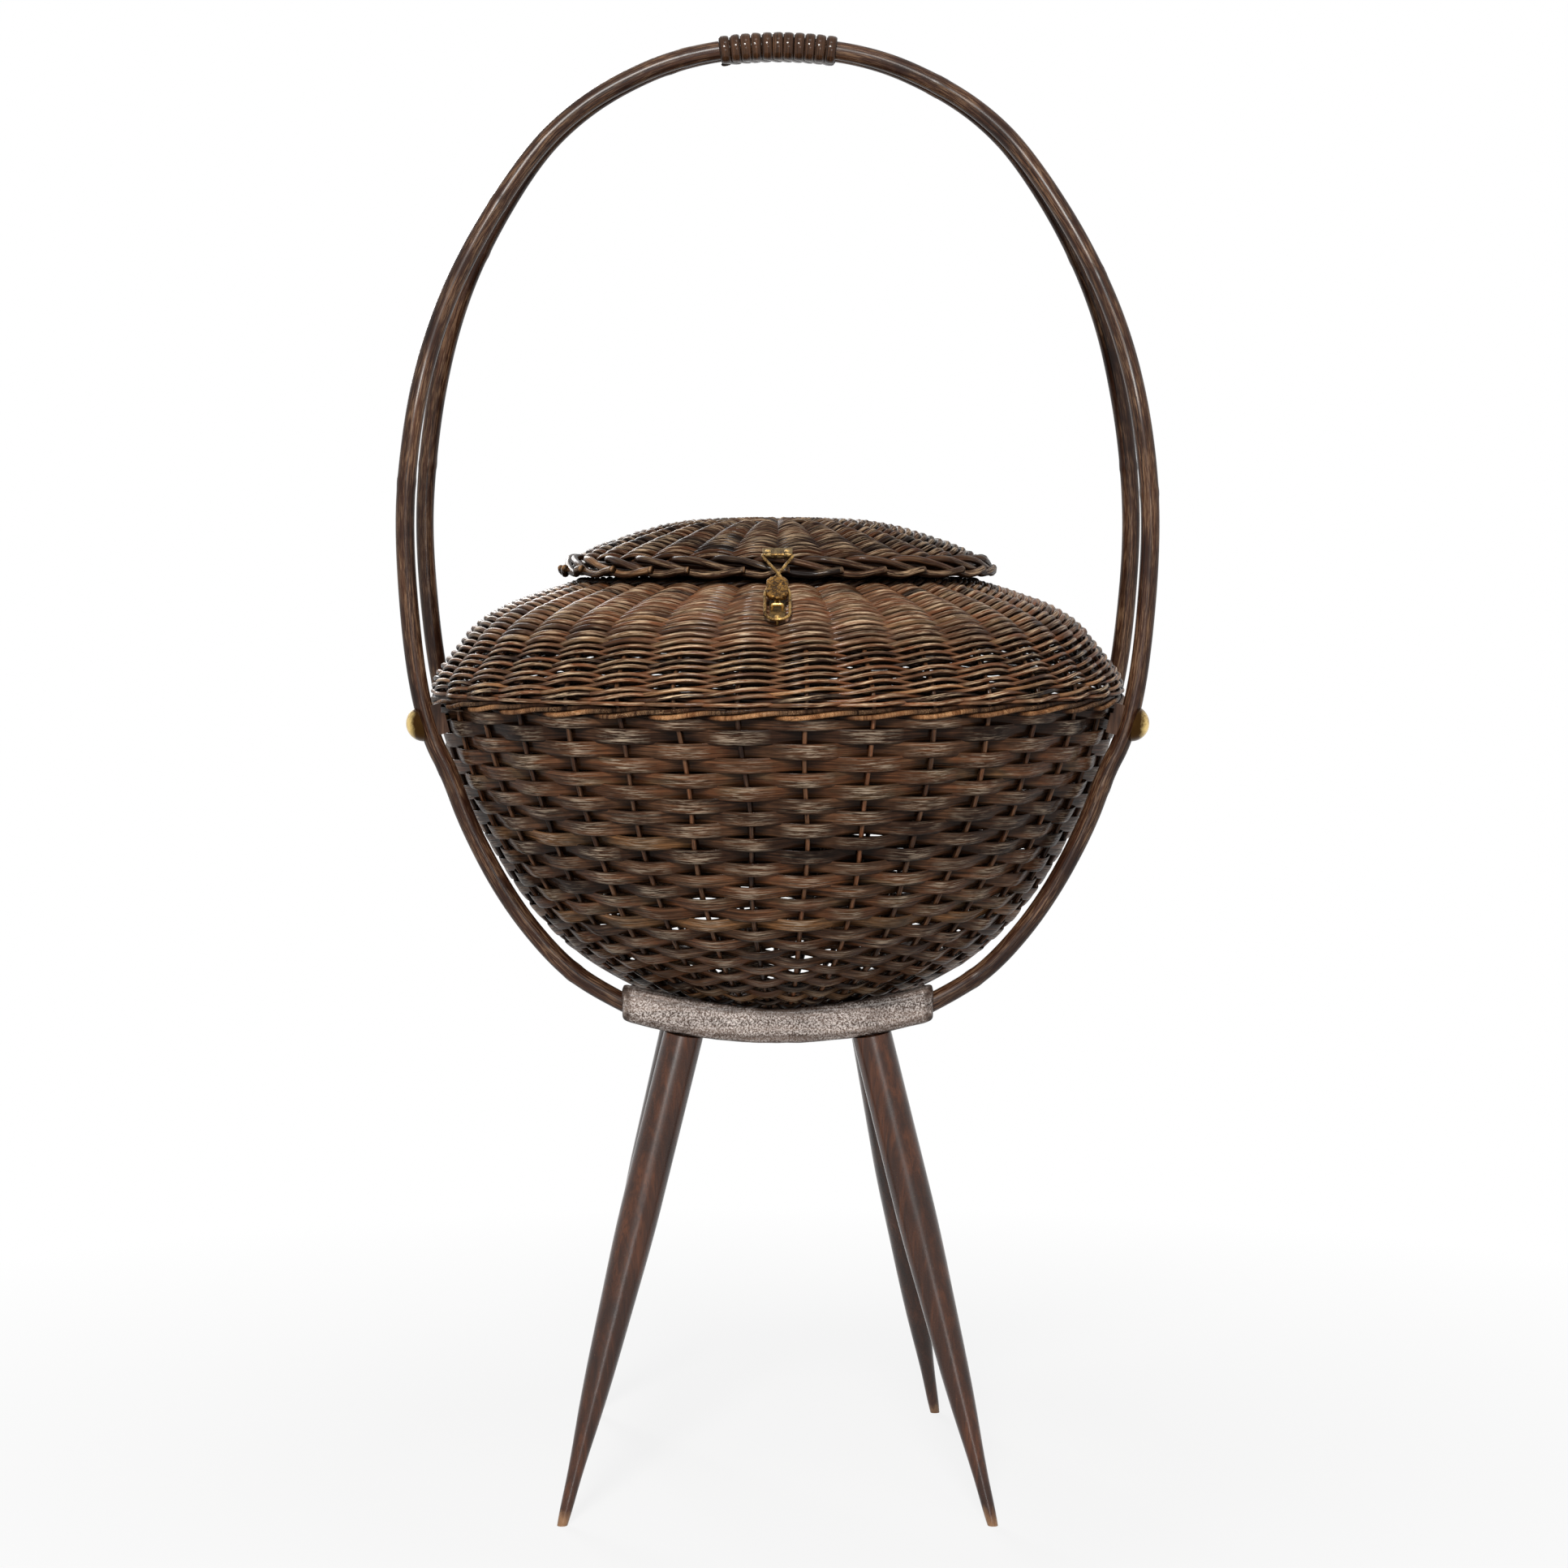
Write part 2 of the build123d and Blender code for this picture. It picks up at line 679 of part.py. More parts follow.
seat = bowl_body(seat_gap)
seat = seat + post(base_radius + seat_gap, base_height - seat_gap, base_height + base_thickness)
boards = {-1: make_board(-1), 1: make_board(1)}
for side in boards:
    for side_x in (-1, 1):
        direction = Vector(side_x * entry_direction.X, 0, entry_direction.Z)
        entry = Vector(side_x * board_half_length, side * hoop_spread, board_end_middle)
        mortise = Plane(origin=entry, z_dir=direction)
        mortise = mortise * post(hoop_radius + fit_gap, -mortise_depth - fit_gap, hoop_diameter)
        boards[side] = boards[side] - mortise - rail_place(side_x) * rail_peg(fit_gap)
    boards[side] = boards[side] - seat
for name in leg_places:
    plane, length, side = leg_plane(name)
    boards[side] = boards[side] - plane * leg_peg(length, fit_gap)
    nodes[name] = make_leg(name)
nodes["front_board"] = boards[-1]
nodes["rear_board"] = boards[1]
nodes["cross_rail_left"] = make_rail(-1)
nodes["cross_rail_right"] = make_rail(1)

dome = make_dome()
plate = make_clasp_plate()
rivet_depth = plate_thickness + dome_wall + 1.0
for place in clasp_rivet_places():
    dome = dome - place * rivet(rivet_depth, fit_gap)
    plate = plate - place * rivet(rivet_depth, fit_gap)
nodes["lid_weave"] = dome
nodes["clasp_plate"] = plate
nodes["clasp_plate_rivets"] = Compound([place * rivet(rivet_depth) for place in clasp_rivet_places()])

lid_border = make_lid_border()
for side in (-1, 1):
    lid_border = lid_border - hinge_ring(side, seat_gap)
    shoulder = shoulder - hinge_ring(side, weave_gap)
nodes["lid_border"] = lid_border
nodes["opening_border"] = opening_rod_solid()
nodes["lid_hinge_rings"] = Compound([hinge_ring(-1), hinge_ring(1)])

nodes["clasp_wire"] = clasp_wire(wire_radius)
nodes["clasp_tab"] = make_tab()
nodes["catch_staple"] = staple(wire_radius)
catch = make_catch_plate() - staple(wire_radius + fit_gap)
catch_depth = plate_thickness + shoulder_wall + 1.6
for place in catch_rivet_places():
    catch = catch - place * rivet(catch_depth, fit_gap)
    shoulder = shoulder - place * rivet(catch_depth, fit_gap)
nodes["catch_plate"] = catch
nodes["catch_rivets"] = Compound([place * rivet(catch_depth) for place in catch_rivet_places()])
nodes["shoulder_weave"] = shoulder

os.makedirs("parts", exist_ok=True)
for name, shape in nodes.items():
    export_step(shape, f"parts/{name}.step")

print("lid axis", hinge_y, hinge_z)
print("clasp axis", clasp_pivot)
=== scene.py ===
"""Looks of a round woven sewing basket with a domed lid, on a stand with four splayed legs.

Everything is in metres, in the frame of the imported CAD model: +Z up, floor at 0, the basket's
axis on Z, the clasp towards -Y. A turn is an angle round that axis from the front towards +X.
"""
import math

import bmesh
import bpy
import numpy as np
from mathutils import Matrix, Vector, noise


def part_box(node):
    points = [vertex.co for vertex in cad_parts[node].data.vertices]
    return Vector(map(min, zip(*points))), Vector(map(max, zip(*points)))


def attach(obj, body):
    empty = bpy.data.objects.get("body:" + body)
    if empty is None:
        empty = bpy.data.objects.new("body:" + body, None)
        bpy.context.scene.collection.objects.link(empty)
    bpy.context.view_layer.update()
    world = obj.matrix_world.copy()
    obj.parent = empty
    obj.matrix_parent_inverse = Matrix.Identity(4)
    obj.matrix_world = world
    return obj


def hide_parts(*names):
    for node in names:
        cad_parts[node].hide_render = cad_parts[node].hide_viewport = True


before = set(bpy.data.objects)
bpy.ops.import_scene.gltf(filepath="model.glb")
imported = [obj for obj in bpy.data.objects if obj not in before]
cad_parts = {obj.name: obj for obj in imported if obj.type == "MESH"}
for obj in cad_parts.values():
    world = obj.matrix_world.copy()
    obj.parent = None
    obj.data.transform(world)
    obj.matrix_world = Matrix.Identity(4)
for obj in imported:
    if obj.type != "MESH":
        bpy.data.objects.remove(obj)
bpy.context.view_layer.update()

mm = 0.001
seed = 11
chance = np.random.default_rng(seed)

# ---- sizes ----
# Weave
stake_count = 35
stake_size = 3.1 * mm
reed_width = 9.2 * mm
reed_thickness = 1.1 * mm
reed_pitch = 8.2 * mm
bowl_middle = 3.1 * mm       # middle of the weave inside the CAD outline
reed_reach = 1.95 * mm
reed_steps = 12              # points of a reed from one stake to the next
spiral_start = 17            # stakes from the front to where the reed starts, behind
thinnest_reed = 1 * mm       # width that the first and last rows taper to
rod_pitch = 4.85 * mm
loose_rod = 2.6 * mm
tight_rod = 3.9 * mm
loose_rows = 9               # rows of loose rods over the band, before the tight ones
shoulder_middle = 4.5 * mm
rod_reach = 3.2 * mm
rod_steps = 10               # points of a rod from one stake to the next
wale_rod = 3.1 * mm
wale_reach = 1.8 * mm
wale_rise = 2.3 * mm
roll_rod = 3.5 * mm          # rods of the rope round the opening
roll_reach = 1.75 * mm
roll_windings = 22
lid_stake_count = 28
lid_rod = 4.0 * mm
lid_rod_pitch = 5.0 * mm
lid_middle = 4.0 * mm
lid_reach = 3.0 * mm
border_rod = 4.3 * mm
base_stake_count = 28
base_rod = 2.7 * mm
base_rod_pitch = 3.6 * mm
base_middle = 1.8 * mm
base_reach = 1.5 * mm
cross_stick = 3.6 * mm       # sticks at the centre of the lid and the base
cross_half = 15 * mm
# Hoops
node_distance = 168 * mm     # from one joint of the cane to the next
node_swell = 0.35 * mm
binding_wraps = 11
binding_step = 6.3 * mm
binding_width = 6.2 * mm
binding_thickness = 2.6 * mm


def extent(node):
    """A node's outer radius, its bottom and its top."""
    low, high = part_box(node)
    return high[0], low[2], high[2]


base_radius, base_bottom, base_top = extent("basket_base")
bowl_radius = extent("bowl_weave")[0]
band_radius, band_bottom, band_top = extent("rim_band")
shoulder_top = extent("shoulder_weave")[2]
mouth_radius, mouth_bottom, mouth_top = extent("opening_border")
lid_radius, _, lid_top = extent("lid_border")
dome_radius, dome_bottom, dome_top = extent("lid_weave")


# ---- curves ----
def between(low, high, share):
    return low + (high - low) * share


def around(turn, radius, height):
    """Points or directions at those turns round the axis."""
    return np.stack([radius * np.sin(turn), -radius * np.cos(turn), height], 1)


def lengths_along(points):
    """Each point's distance along the line."""
    steps = np.linalg.norm(np.diff(points, axis=0), axis=1)
    return np.concatenate([[0.0], np.cumsum(steps)])


def resampled(points, count):
    """The same line with evenly spaced points."""
    along = lengths_along(points)
    wanted = np.linspace(0, along[-1], count)
    return np.stack([np.interp(wanted, along, column) for column in points.T], 1)


def smooth_curve(knots, count):
    """Natural cubic spline through the knots, evenly spaced."""
    knots = np.array(knots, float)
    along = lengths_along(knots)
    gaps = np.diff(along)
    slopes = np.diff(knots, axis=0) / gaps[:, None]
    matrix = np.eye(len(knots))
    right = np.zeros_like(knots)
    for i in range(1, len(knots) - 1):
        matrix[i, i - 1 : i + 2] = gaps[i - 1], 2 * (gaps[i - 1] + gaps[i]), gaps[i]
        right[i] = 6 * (slopes[i] - slopes[i - 1])
    bend = np.linalg.solve(matrix, right)
    at = np.linspace(0, along[-1], count * 3)
    k = np.clip(np.searchsorted(along, at, side="right") - 1, 0, len(gaps) - 1)
    after = (at - along[k])[:, None]
    before = (along[k + 1] - at)[:, None]
    gap = gaps[k][:, None]
    line = (bend[k] * before**3 + bend[k + 1] * after**3) / (6 * gap)
    line += (knots[k] / gap - bend[k] * gap / 6) * before
    line += (knots[k + 1] / gap - bend[k + 1] * gap / 6) * after
    return resampled(line, count)


def touching_curve(points, steps=14):
    """Quadratic B-spline: it touches the middle of each run between the points."""
    points = np.array(points, float)
    middles = (points[:-1] + points[1:]) / 2
    starts = np.concatenate([points[:1], middles[1:-1]])
    ends = np.concatenate([middles[1:-1], points[-1:]])
    share = np.linspace(0, 1, steps, endpoint=False)[:, None]
    line = []
    for start, control, end in zip(starts, points[1:-1], ends):
        line.append(start * (1 - share) ** 2 + control * 2 * share * (1 - share) + end * share**2)
    line.append(points[-1:])
    return np.concatenate(line)


class Profile:
    """Outline of a turned surface: radius, height and outward normal by the distance along it.

    The shape's knots are shares of the way out and up from the start to the end.
    """

    def __init__(self, shape, start, end):
        knots = [(between(start[0], end[0], out), between(start[1], end[1], up)) for out, up in shape]
        self.line = smooth_curve(knots, 300)
        self.along = lengths_along(self.line)
        self.length = self.along[-1]
        tangent = np.gradient(self.line, self.along, axis=0)
        tangent /= np.linalg.norm(tangent, axis=1)[:, None]
        self.normal = np.stack([tangent[:, 1], -tangent[:, 0]], 1)

    def at(self, turn, distance, lift):
        """Points and normals at those turns, distances along the outline and heights over it."""
        columns = np.concatenate([self.line, self.normal], axis=1).T
        radius, height, out, up = (np.interp(distance, self.along, column) for column in columns)
        points = around(turn, radius + lift * out, height + lift * up)
        return points, around(turn, out, up)

    def swayed(self, turn, distance, lift, sway, more=0.0):
        """As at, where the stakes lean by the sway, and turn by more."""
        height = np.interp(distance, self.along, self.line[:, 1])
        return self.at(turn + sway(turn, height) + more, distance, lift)


bowl_shape = [(0.0, 0.0115), (0.153, 0.0635), (0.474, 0.221), (0.77, 0.53), (0.969, 0.895), (1.0, 1.0)]
shoulder_shape = [(0.0, 0.0), (0.02, 0.135), (0.098, 0.287), (0.365, 0.666), (0.706, 0.879), (1.0, 1.0)]
dome_shape = [(0.0, 0.0), (0.075, 0.2), (0.2, 0.44), (0.508, 0.87), (0.72, 0.965), (1.0, 1.0)]
base_shape = [(0.0, 0.0), (0.35, 0.3), (0.7, 0.3), (1.0, 0.3)]
centre_radius = 4 * mm
base_edge_drop = 1.5 * mm
bowl = Profile(bowl_shape, (base_radius, base_bottom), (bowl_radius, band_bottom))
shoulder = Profile(shoulder_shape, (band_radius, band_top), (mouth_radius, shoulder_top))
dome = Profile(dome_shape, (dome_radius, dome_bottom), (centre_radius, dome_top))
base = Profile(base_shape, (base_radius, base_top - base_edge_drop), (centre_radius, base_top))


class Waver:
    """A smooth unevenness: a few sine waves of a strand's own position."""

    def __init__(self, size, lowest, highest, count=5):
        self.waves = [
            (chance.uniform(lowest, highest), chance.uniform(0, 2 * math.pi), chance.uniform(0.5, 1))
            for _ in range(count)
        ]
        self.size = size / math.sqrt(count / 2)

    def __call__(self, position):
        waves = [weight * np.sin(rate * position + start) for rate, start, weight in self.waves]
        return self.size * sum(waves)


class Sway:
    """Stakes lean a little to and fro: a shift of the turn by turn and height."""

    def __init__(self, size):
        self.waves = [
            (int(chance.integers(2, 9)), chance.uniform(20, 60), chance.uniform(0, 2 * math.pi))
            for _ in range(4)
        ]
        self.size = size

    def __call__(self, turn, height):
        waves = [np.sin(count * turn + rate * height + start) for count, rate, start in self.waves]
        return self.size * sum(waves)


# ---- strands ----
def round_section(diameter, sides=8):
    angle = np.arange(sides) * 2 * math.pi / sides
    return np.stack([np.cos(angle), np.sin(angle)], 1) * diameter / 2


def reed_section(width, thickness):
    """Flat oval, more crowned on its outer face."""
    outer = [(-1, 0), (-0.9, 0.55), (-0.55, 0.9), (0, 1), (0.55, 0.9), (0.9, 0.55), (1, 0)]
    inner = [(0.88, -0.75), (0, -0.9), (-0.88, -0.75)]
    return np.array(outer + inner) * (width / 2, thickness / 2)


def unit(vectors):
    return vectors / np.linalg.norm(vectors, axis=1)[:, None]


class Strands:
    """Swept rods and reeds, gathered into one mesh.

    Each point keeps its place along and in the strand as "grain", the strand's own tone as "tone", and
    how far it stands out of the weave as "raised". The canes paint shade and highlights from "grain"
    and "raised".
    """

    def __init__(self):
        self.points, self.quads, self.caps = [], [], []
        self.grain, self.tone, self.raised = [], [], []
        self.count = 0

    def add(
        self, path, normals, section, tone, raised=0.5, scale=1.0, width=1.0, tilt=0.0, closed=False
    ):
        """Sweeps the section along the path, with its second axis along the normals."""
        count, sides = len(path), len(section)
        if closed:
            tangents = unit(np.roll(path, -1, 0) - np.roll(path, 1, 0))
        else:
            tangents = unit(np.gradient(path, axis=0))
        out = unit(normals - tangents * (normals * tangents).sum(1)[:, None])
        across = np.cross(out, tangents)
        tilt = np.broadcast_to(tilt, count)[:, None]
        cosine, sine = np.cos(tilt), np.sin(tilt)
        out, across = out * cosine + across * sine, across * cosine - out * sine
        scale = np.broadcast_to(scale, count)[:, None, None]
        across = across * np.broadcast_to(width, count)[:, None]
        offsets = across[:, None] * section[None, :, :1] + out[:, None] * section[None, :, 1:]
        self.points.append((path[:, None] + offsets * scale).reshape(-1, 3))
        along = lengths_along(path)
        grain = np.zeros((count, sides, 3))
        grain[:, :, 0] = along[:, None]
        grain[:, :, 1:] = section[None]
        self.grain.append(grain.reshape(-1, 3))
        self.tone.append(np.repeat(np.broadcast_to(tone, count), sides))
        self.raised.append(np.repeat(np.broadcast_to(raised, count), sides))
        rings = count if closed else count - 1
        ring = np.arange(rings)[:, None] * sides
        after = ((np.arange(rings) + 1) % count)[:, None] * sides
        side = np.arange(sides)[None]
        beside = (side + 1) % sides
        quads = np.stack([ring + side, ring + beside, after + beside, after + side], 2).reshape(-1, 4)
        self.quads.append(quads[:, ::-1] + self.count)
        if not closed:
            self.caps.append(tuple(range(self.count, self.count + sides)))
            last = self.count + (count - 1) * sides
            self.caps.append(tuple(range(last + sides - 1, last - 1, -1)))
        self.count += count * sides

    def piece(self, name, body, material, slot, *nodes):
        mesh = bpy.data.meshes.new(name)
        faces = np.concatenate(self.quads).tolist() + self.caps
        mesh.from_pydata(np.concatenate(self.points).tolist(), [], faces)
        for title, kind, values in (
            ("grain", "FLOAT_VECTOR", self.grain),
            ("tone", "FLOAT", self.tone),
            ("raised", "FLOAT", self.raised),
        ):
            layer = mesh.attributes.new(title, kind, "POINT")
            field = "vector" if kind == "FLOAT_VECTOR" else "value"
            layer.data.foreach_set(field, np.concatenate(values).astype(np.float32).ravel())
        mesh.shade_smooth()
        return placed(mesh, name, body, material, slot, *nodes)


def added_object(name, data):
    made = bpy.data.objects.new(name, data)
    bpy.context.scene.collection.objects.link(made)
    return made


def placed(mesh, name, body, material, slot, *nodes):
    """A new piece from a mesh at rest, on its body, in place of the CAD nodes."""
    piece = added_object(name, mesh)
    mesh.materials.clear()
    mesh.materials.append(material)
    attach(piece, body)
    if nodes:
        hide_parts(*nodes)
    return piece


def lengths_of_cane(start, end, shortest, longest, side=1):
    """Stretches of stakes passed, from join to join, where each join is behind a stake."""
    cuts = [start]
    while end - cuts[-1] > longest * 1.2:
        behind = 0.5 + (side > 0)
        cut = cuts[-1] + chance.uniform(shortest, longest)
        cuts.append(2 * round((cut - behind) / 2) + behind)
    return list(zip(cuts, cuts[1:] + [end]))


def over_and_under(place, side=1):
    """1 in front of a stake and -1 behind the next, at a number of stakes from the front."""
    return side * np.cos(math.pi * (place - 0.5))


# ---- materials ----
def colour(red, green, blue):
    """A colour from its usual 0 to 255 values."""
    channels = [c / 255 for c in (red, green, blue)]
    return [c / 12.92 if c <= 0.04045 else ((c + 0.055) / 1.055) ** 2.4 for c in channels] + [1.0]


class Nodes:
    """Short calls for the nodes of one tree."""

    def __init__(self, tree):
        self.tree = tree

    def node(self, kind, **settings):
        made = self.tree.nodes.new("ShaderNode" + kind)
        for setting, value in settings.items():
            setattr(made, setting, value)
        return made

    def put(self, value, socket):
        if isinstance(value, bpy.types.NodeSocket):
            self.tree.links.new(value, socket)
        else:
            socket.default_value = value

    def attribute(self, name, output="Fac"):
        return self.node("Attribute", attribute_name=name).outputs[output]

    def scaled(self, vector, scale):
        made = self.node("VectorMath", operation="MULTIPLY")
        self.put(vector, made.inputs[0])
        made.inputs[1].default_value = scale
        return made.outputs[0]

    def added(self, vector, amount, scale):
        """The vector with a number, times a scale for each axis, added."""
        spread = self.node("VectorMath", operation="MULTIPLY")
        self.put(amount, spread.inputs[0])
        spread.inputs[1].default_value = scale
        made = self.node("VectorMath", operation="ADD")
        self.put(vector, made.inputs[0])
        self.put(spread.outputs[0], made.inputs[1])
        return made.outputs[0]

    def noise(self, vector, scale=1.0, detail=3.0, rough=0.55, distortion=0.0):
        made = self.node("TexNoise")
        self.put(vector, made.inputs["Vector"])
        settings = {"Scale": scale, "Detail": detail, "Roughness": rough, "Distortion": distortion}
        for socket, value in settings.items():
            made.inputs[socket].default_value = value
        return made.outputs["Fac"]

    def span(self, value, low, high, to_low=0.0, to_high=1.0):
        """The value's way from low to high, as a way from to_low to to_high."""
        made = self.node("MapRange")
        self.put(value, made.inputs["Value"])
        ends = {"From Min": low, "From Max": high, "To Min": to_low, "To Max": to_high}
        for socket, number in ends.items():
            made.inputs[socket].default_value = number
        return made.outputs[0]

    def math(self, operation, first, second):
        made = self.node("Math", operation=operation)
        self.put(first, made.inputs[0])
        self.put(second, made.inputs[1])
        return made.outputs[0]

    def times(self, first, second):
        return self.math("MULTIPLY", first, second)

    def plus(self, first, second):
        return self.math("ADD", first, second)

    def darkened(self, tint, light):
        return self.mix(1.0, tint, self.grey(light), "MULTIPLY")

    def ramp(self, value, *stops):
        made = self.node("ValToRGB")
        self.put(value, made.inputs[0])
        elements = made.color_ramp.elements
        while len(elements) < len(stops):
            elements.new(0.5)
        for element, (position, tint) in zip(elements, stops):
            element.position = position
            element.color = tint
        return made.outputs[0]

    def mix(self, share, first, second, blend="MIX"):
        made = self.node("Mix", data_type="RGBA", blend_type=blend)
        self.put(share, made.inputs[0])
        self.put(first, made.inputs[6])
        self.put(second, made.inputs[7])
        return made.outputs[2]

    def grey(self, value):
        made = self.node("CombineColor")
        for socket in made.inputs:
            self.put(value, socket)
        return made.outputs[0]

    def bump(self, height, distance, strength=1.0, under=None):
        made = self.node("Bump")
        made.inputs["Strength"].default_value = strength
        made.inputs["Distance"].default_value = distance
        self.put(height, made.inputs["Height"])
        if under is not None:
            self.put(under, made.inputs["Normal"])
        return made.outputs[0]


class Shader(Nodes):
    """A Principled material. The values go on its shader's sockets."""

    def __init__(self, name, **values):
        self.material = bpy.data.materials.new(name)
        self.material.use_nodes = True
        super().__init__(self.material.node_tree)
        self.surface = self.tree.nodes["Principled BSDF"]
        for socket, value in values.items():
            self.surface.inputs[socket.replace("_", " ")].default_value = value

    def finish(self, base, roughness, normal):
        self.put(base, self.surface.inputs["Base Color"])
        self.put(roughness, self.surface.inputs["Roughness"])
        self.put(normal, self.surface.inputs["Normal"])
        return self.material


def cane(
    name, tones, highlight_colour, depth=None, crevice_shade=0.3, fibre=(30, 1100), groove=0.28 * mm, gloss=0.36,
    highlight_share=0.6, coat=0.05, varnish=0.13, split=None,
):
    """Stained and varnished cane: its fibres run along it, and a painted highlight lies on its crests.

    depth is the strand's half thickness. Its sides, and where it lies behind, get painted shade, as
    dark as the share given after depth. fibre is how many fibres there are in a metre along the strand
    and across it, and groove is how deep they go. The painted highlight colour comes after the tones,
    and the highlight share is how much of it the crests show. coat and varnish are the varnish's weight
    and roughness. split is how dark the thin lengthwise lines of a flat reed are.
    """
    m = Shader(name, Coat_Weight=coat, Coat_Roughness=varnish, Specular_IOR_Level=0.02)
    tone = m.attribute("tone")
    raised = m.attribute("raised")
    place = m.attribute("grain", "Vector")
    grain = m.added(place, tone, (1.7, 0.37, 0.91))
    along, across = fibre
    fibres = m.noise(m.scaled(grain, (along, across, across)), detail=4.0, rough=0.65)
    hairs = m.noise(m.scaled(grain, (along * 3, across * 2.3, across * 2.3)), detail=2.0, rough=0.6)
    patches = m.noise(m.scaled(grain, (28, 70, 70)), rough=0.6)
    specks = m.noise(m.scaled(grain, (80, 1500, 1500)), rough=0.65)
    stain_and_painted_light = m.ramp(m.plus(tone, m.span(patches, 0.3, 0.7, -0.2, 0.2)), *tones)
    streaks = m.span(fibres, 0.32, 0.68, 0.12, 1.25)
    streaks = m.plus(streaks, m.span(hairs, 0.3, 0.7, -0.25, 0.55))
    stain_and_painted_light = m.darkened(stain_and_painted_light, streaks)
    if split:
        lines = m.math("ABSOLUTE", m.math("SUBTRACT", fibres, 0.5), 0.0)
        stain_and_painted_light = m.darkened(stain_and_painted_light, m.span(lines, 0.0, 0.035, split, 1.0))
    # Painted highlight: speckled patches of the highlight colour, kept to the crests of strands in
    # front.
    painted_highlight = m.times(m.span(specks, 0.48, 0.62), m.span(patches, 0.36, 0.56))
    if depth:
        out = m.node("SeparateXYZ")
        m.put(place, out.inputs[0])
        # What lies behind outside is in front inside.
        side = m.math("SIGN", out.outputs[2], 0.0)
        raised = m.plus(m.times(m.math("SUBTRACT", raised, 0.5), side), 0.5)
        height = m.math("ABSOLUTE", out.outputs[2], 0.0)
        # Painted shade: darker on the strand's sides and where it lies behind.
        crest = m.span(height, depth * 0.05, depth * 0.95, crevice_shade, 1.0)
        hollow = m.span(raised, 0.0, 0.28, crevice_shade, 1.0)
        stain_and_painted_light = m.darkened(stain_and_painted_light, m.times(crest, hollow))
        painted_highlight = m.times(painted_highlight, m.span(height, depth * 0.4, depth * 0.9))
    painted_highlight = m.times(painted_highlight, m.span(raised, 0.5, 1.0, 0.0, highlight_share))
    stain_and_painted_light = m.mix(painted_highlight, stain_and_painted_light, highlight_colour)
    rough = m.span(m.plus(specks, hairs), 0.7, 1.3, gloss + 0.22, gloss - 0.1)
    normal = m.bump(specks, groove * 0.5, 0.7, m.bump(fibres, groove, 1.0))
    return m.finish(stain_and_painted_light, rough, normal)


def wood(
    name, dark, middle, light, along, gloss, painted_sheen=None, worn=None, worn_height=0.0, coat=0.3
):
    """Stained wood with its grain along one axis, and dark pores.

    With a sheen colour its faces get pale specks of painted sheen, and its rounded edges painted shade.
    It is worn up to worn_height.
    """
    m = Shader(name, Coat_Weight=coat, Coat_Roughness=0.26, Specular_IOR_Level=0.1)
    place = m.node("TexCoord").outputs["Object"]
    stretch = [190.0, 190.0, 190.0]
    stretch["XYZ".index(along)] = 8.0
    fibres = m.noise(m.scaled(place, stretch), detail=5.0, rough=0.62, distortion=0.4)
    pores = m.noise(m.scaled(place, [v * 4.5 for v in stretch]), rough=0.6)
    patches = m.noise(place, 20.0, 3.0, 0.6)
    specks = m.noise(place, 900.0, 4.0, 0.7)
    shade = m.plus(fibres, m.span(patches, 0.3, 0.7, -0.09, 0.09))
    base = m.ramp(shade, (0.3, dark), (0.5, middle), (0.72, light))
    base = m.mix(m.span(pores, 0.34, 0.5, 0.6, 0.0), base, dark)
    if painted_sheen is not None:
        # Painted sheen: pale specks on the faces, fewer towards the edges.
        sheen_specks = m.noise(m.added(place, fibres, (0.001, 0.001, 0.001)), 900.0, 5.0, 0.75)
        share = m.times(m.span(sheen_specks, 0.45, 0.59), m.span(patches, 0.3, 0.62, 0.45, 1.0))
        edge = m.attribute("edge")
        share = m.times(share, m.span(edge, 0.1, 0.5, 1.0, 0.15))
        base = m.mix(share, base, painted_sheen)
        # Painted shade on the rounded edges.
        base = m.mix(m.span(edge, 0.15, 0.7, 0.0, 0.85), base, dark)
    else:
        base = m.mix(m.span(specks, 0.68, 0.74, 0.0, 0.6), base, colour(168, 132, 100))
    if worn is not None:
        height = m.node("SeparateXYZ")
        m.put(place, height.inputs[0])
        level = m.plus(height.outputs[2], m.span(fibres, 0.3, 0.7, -0.005, 0.005))
        base = m.mix(m.span(level, worn_height, worn_height * 0.3), base, worn)
    rough = m.span(m.plus(specks, patches), 0.7, 1.3, gloss + 0.2, gloss - 0.1)
    normal = m.bump(specks, 0.0001, 0.7, m.bump(fibres, 0.0002, 0.9))
    return m.finish(base, rough, normal)


def aged_brass(name, bright, brown, mottle=120.0, gloss=0.3, share=0.5, tip=None):
    """Brass gone brown in spots. Heads that stand out to x = tip get a painted dark reflection towards
    their rims.

    mottle is how many spots there are in a metre, and share how much of it has gone brown.
    """
    m = Shader(name, Metallic=1.0)
    place = m.node("TexCoord").outputs["Object"]
    clouds = m.noise(place, mottle, 5.0, 0.68, 0.8)
    specks = m.noise(place, mottle * 8, 3.0, 0.6)
    tarnish = m.plus(clouds, m.span(specks, 0.3, 0.7, -0.14, 0.14))
    base = m.mix(m.span(tarnish, share - 0.12, share + 0.1), brown, bright)
    if tip:
        parts = m.node("SeparateXYZ")
        m.put(place, parts.inputs[0])
        out = m.math("ABSOLUTE", parts.outputs[0], 0.0)
        out = m.plus(out, m.span(clouds, 0.3, 0.7, -1 * mm, 1 * mm))
        # Painted reflection: dark brown towards the rims of the heads.
        base = m.mix(m.span(out, tip - 6 * mm, tip - 2 * mm), colour(60, 40, 18), base)
    rough = m.span(clouds, 0.3, 0.7, gloss + 0.25, gloss)
    normal = m.bump(specks, 0.00006, 0.6, m.bump(clouds, 0.0002, 0.6))
    return m.finish(base, rough, normal)


def tone_stops(*rows):
    """Stops for a ramp, from rows of place, red, green and blue."""
    return [(place, colour(*tint)) for place, *tint in rows]


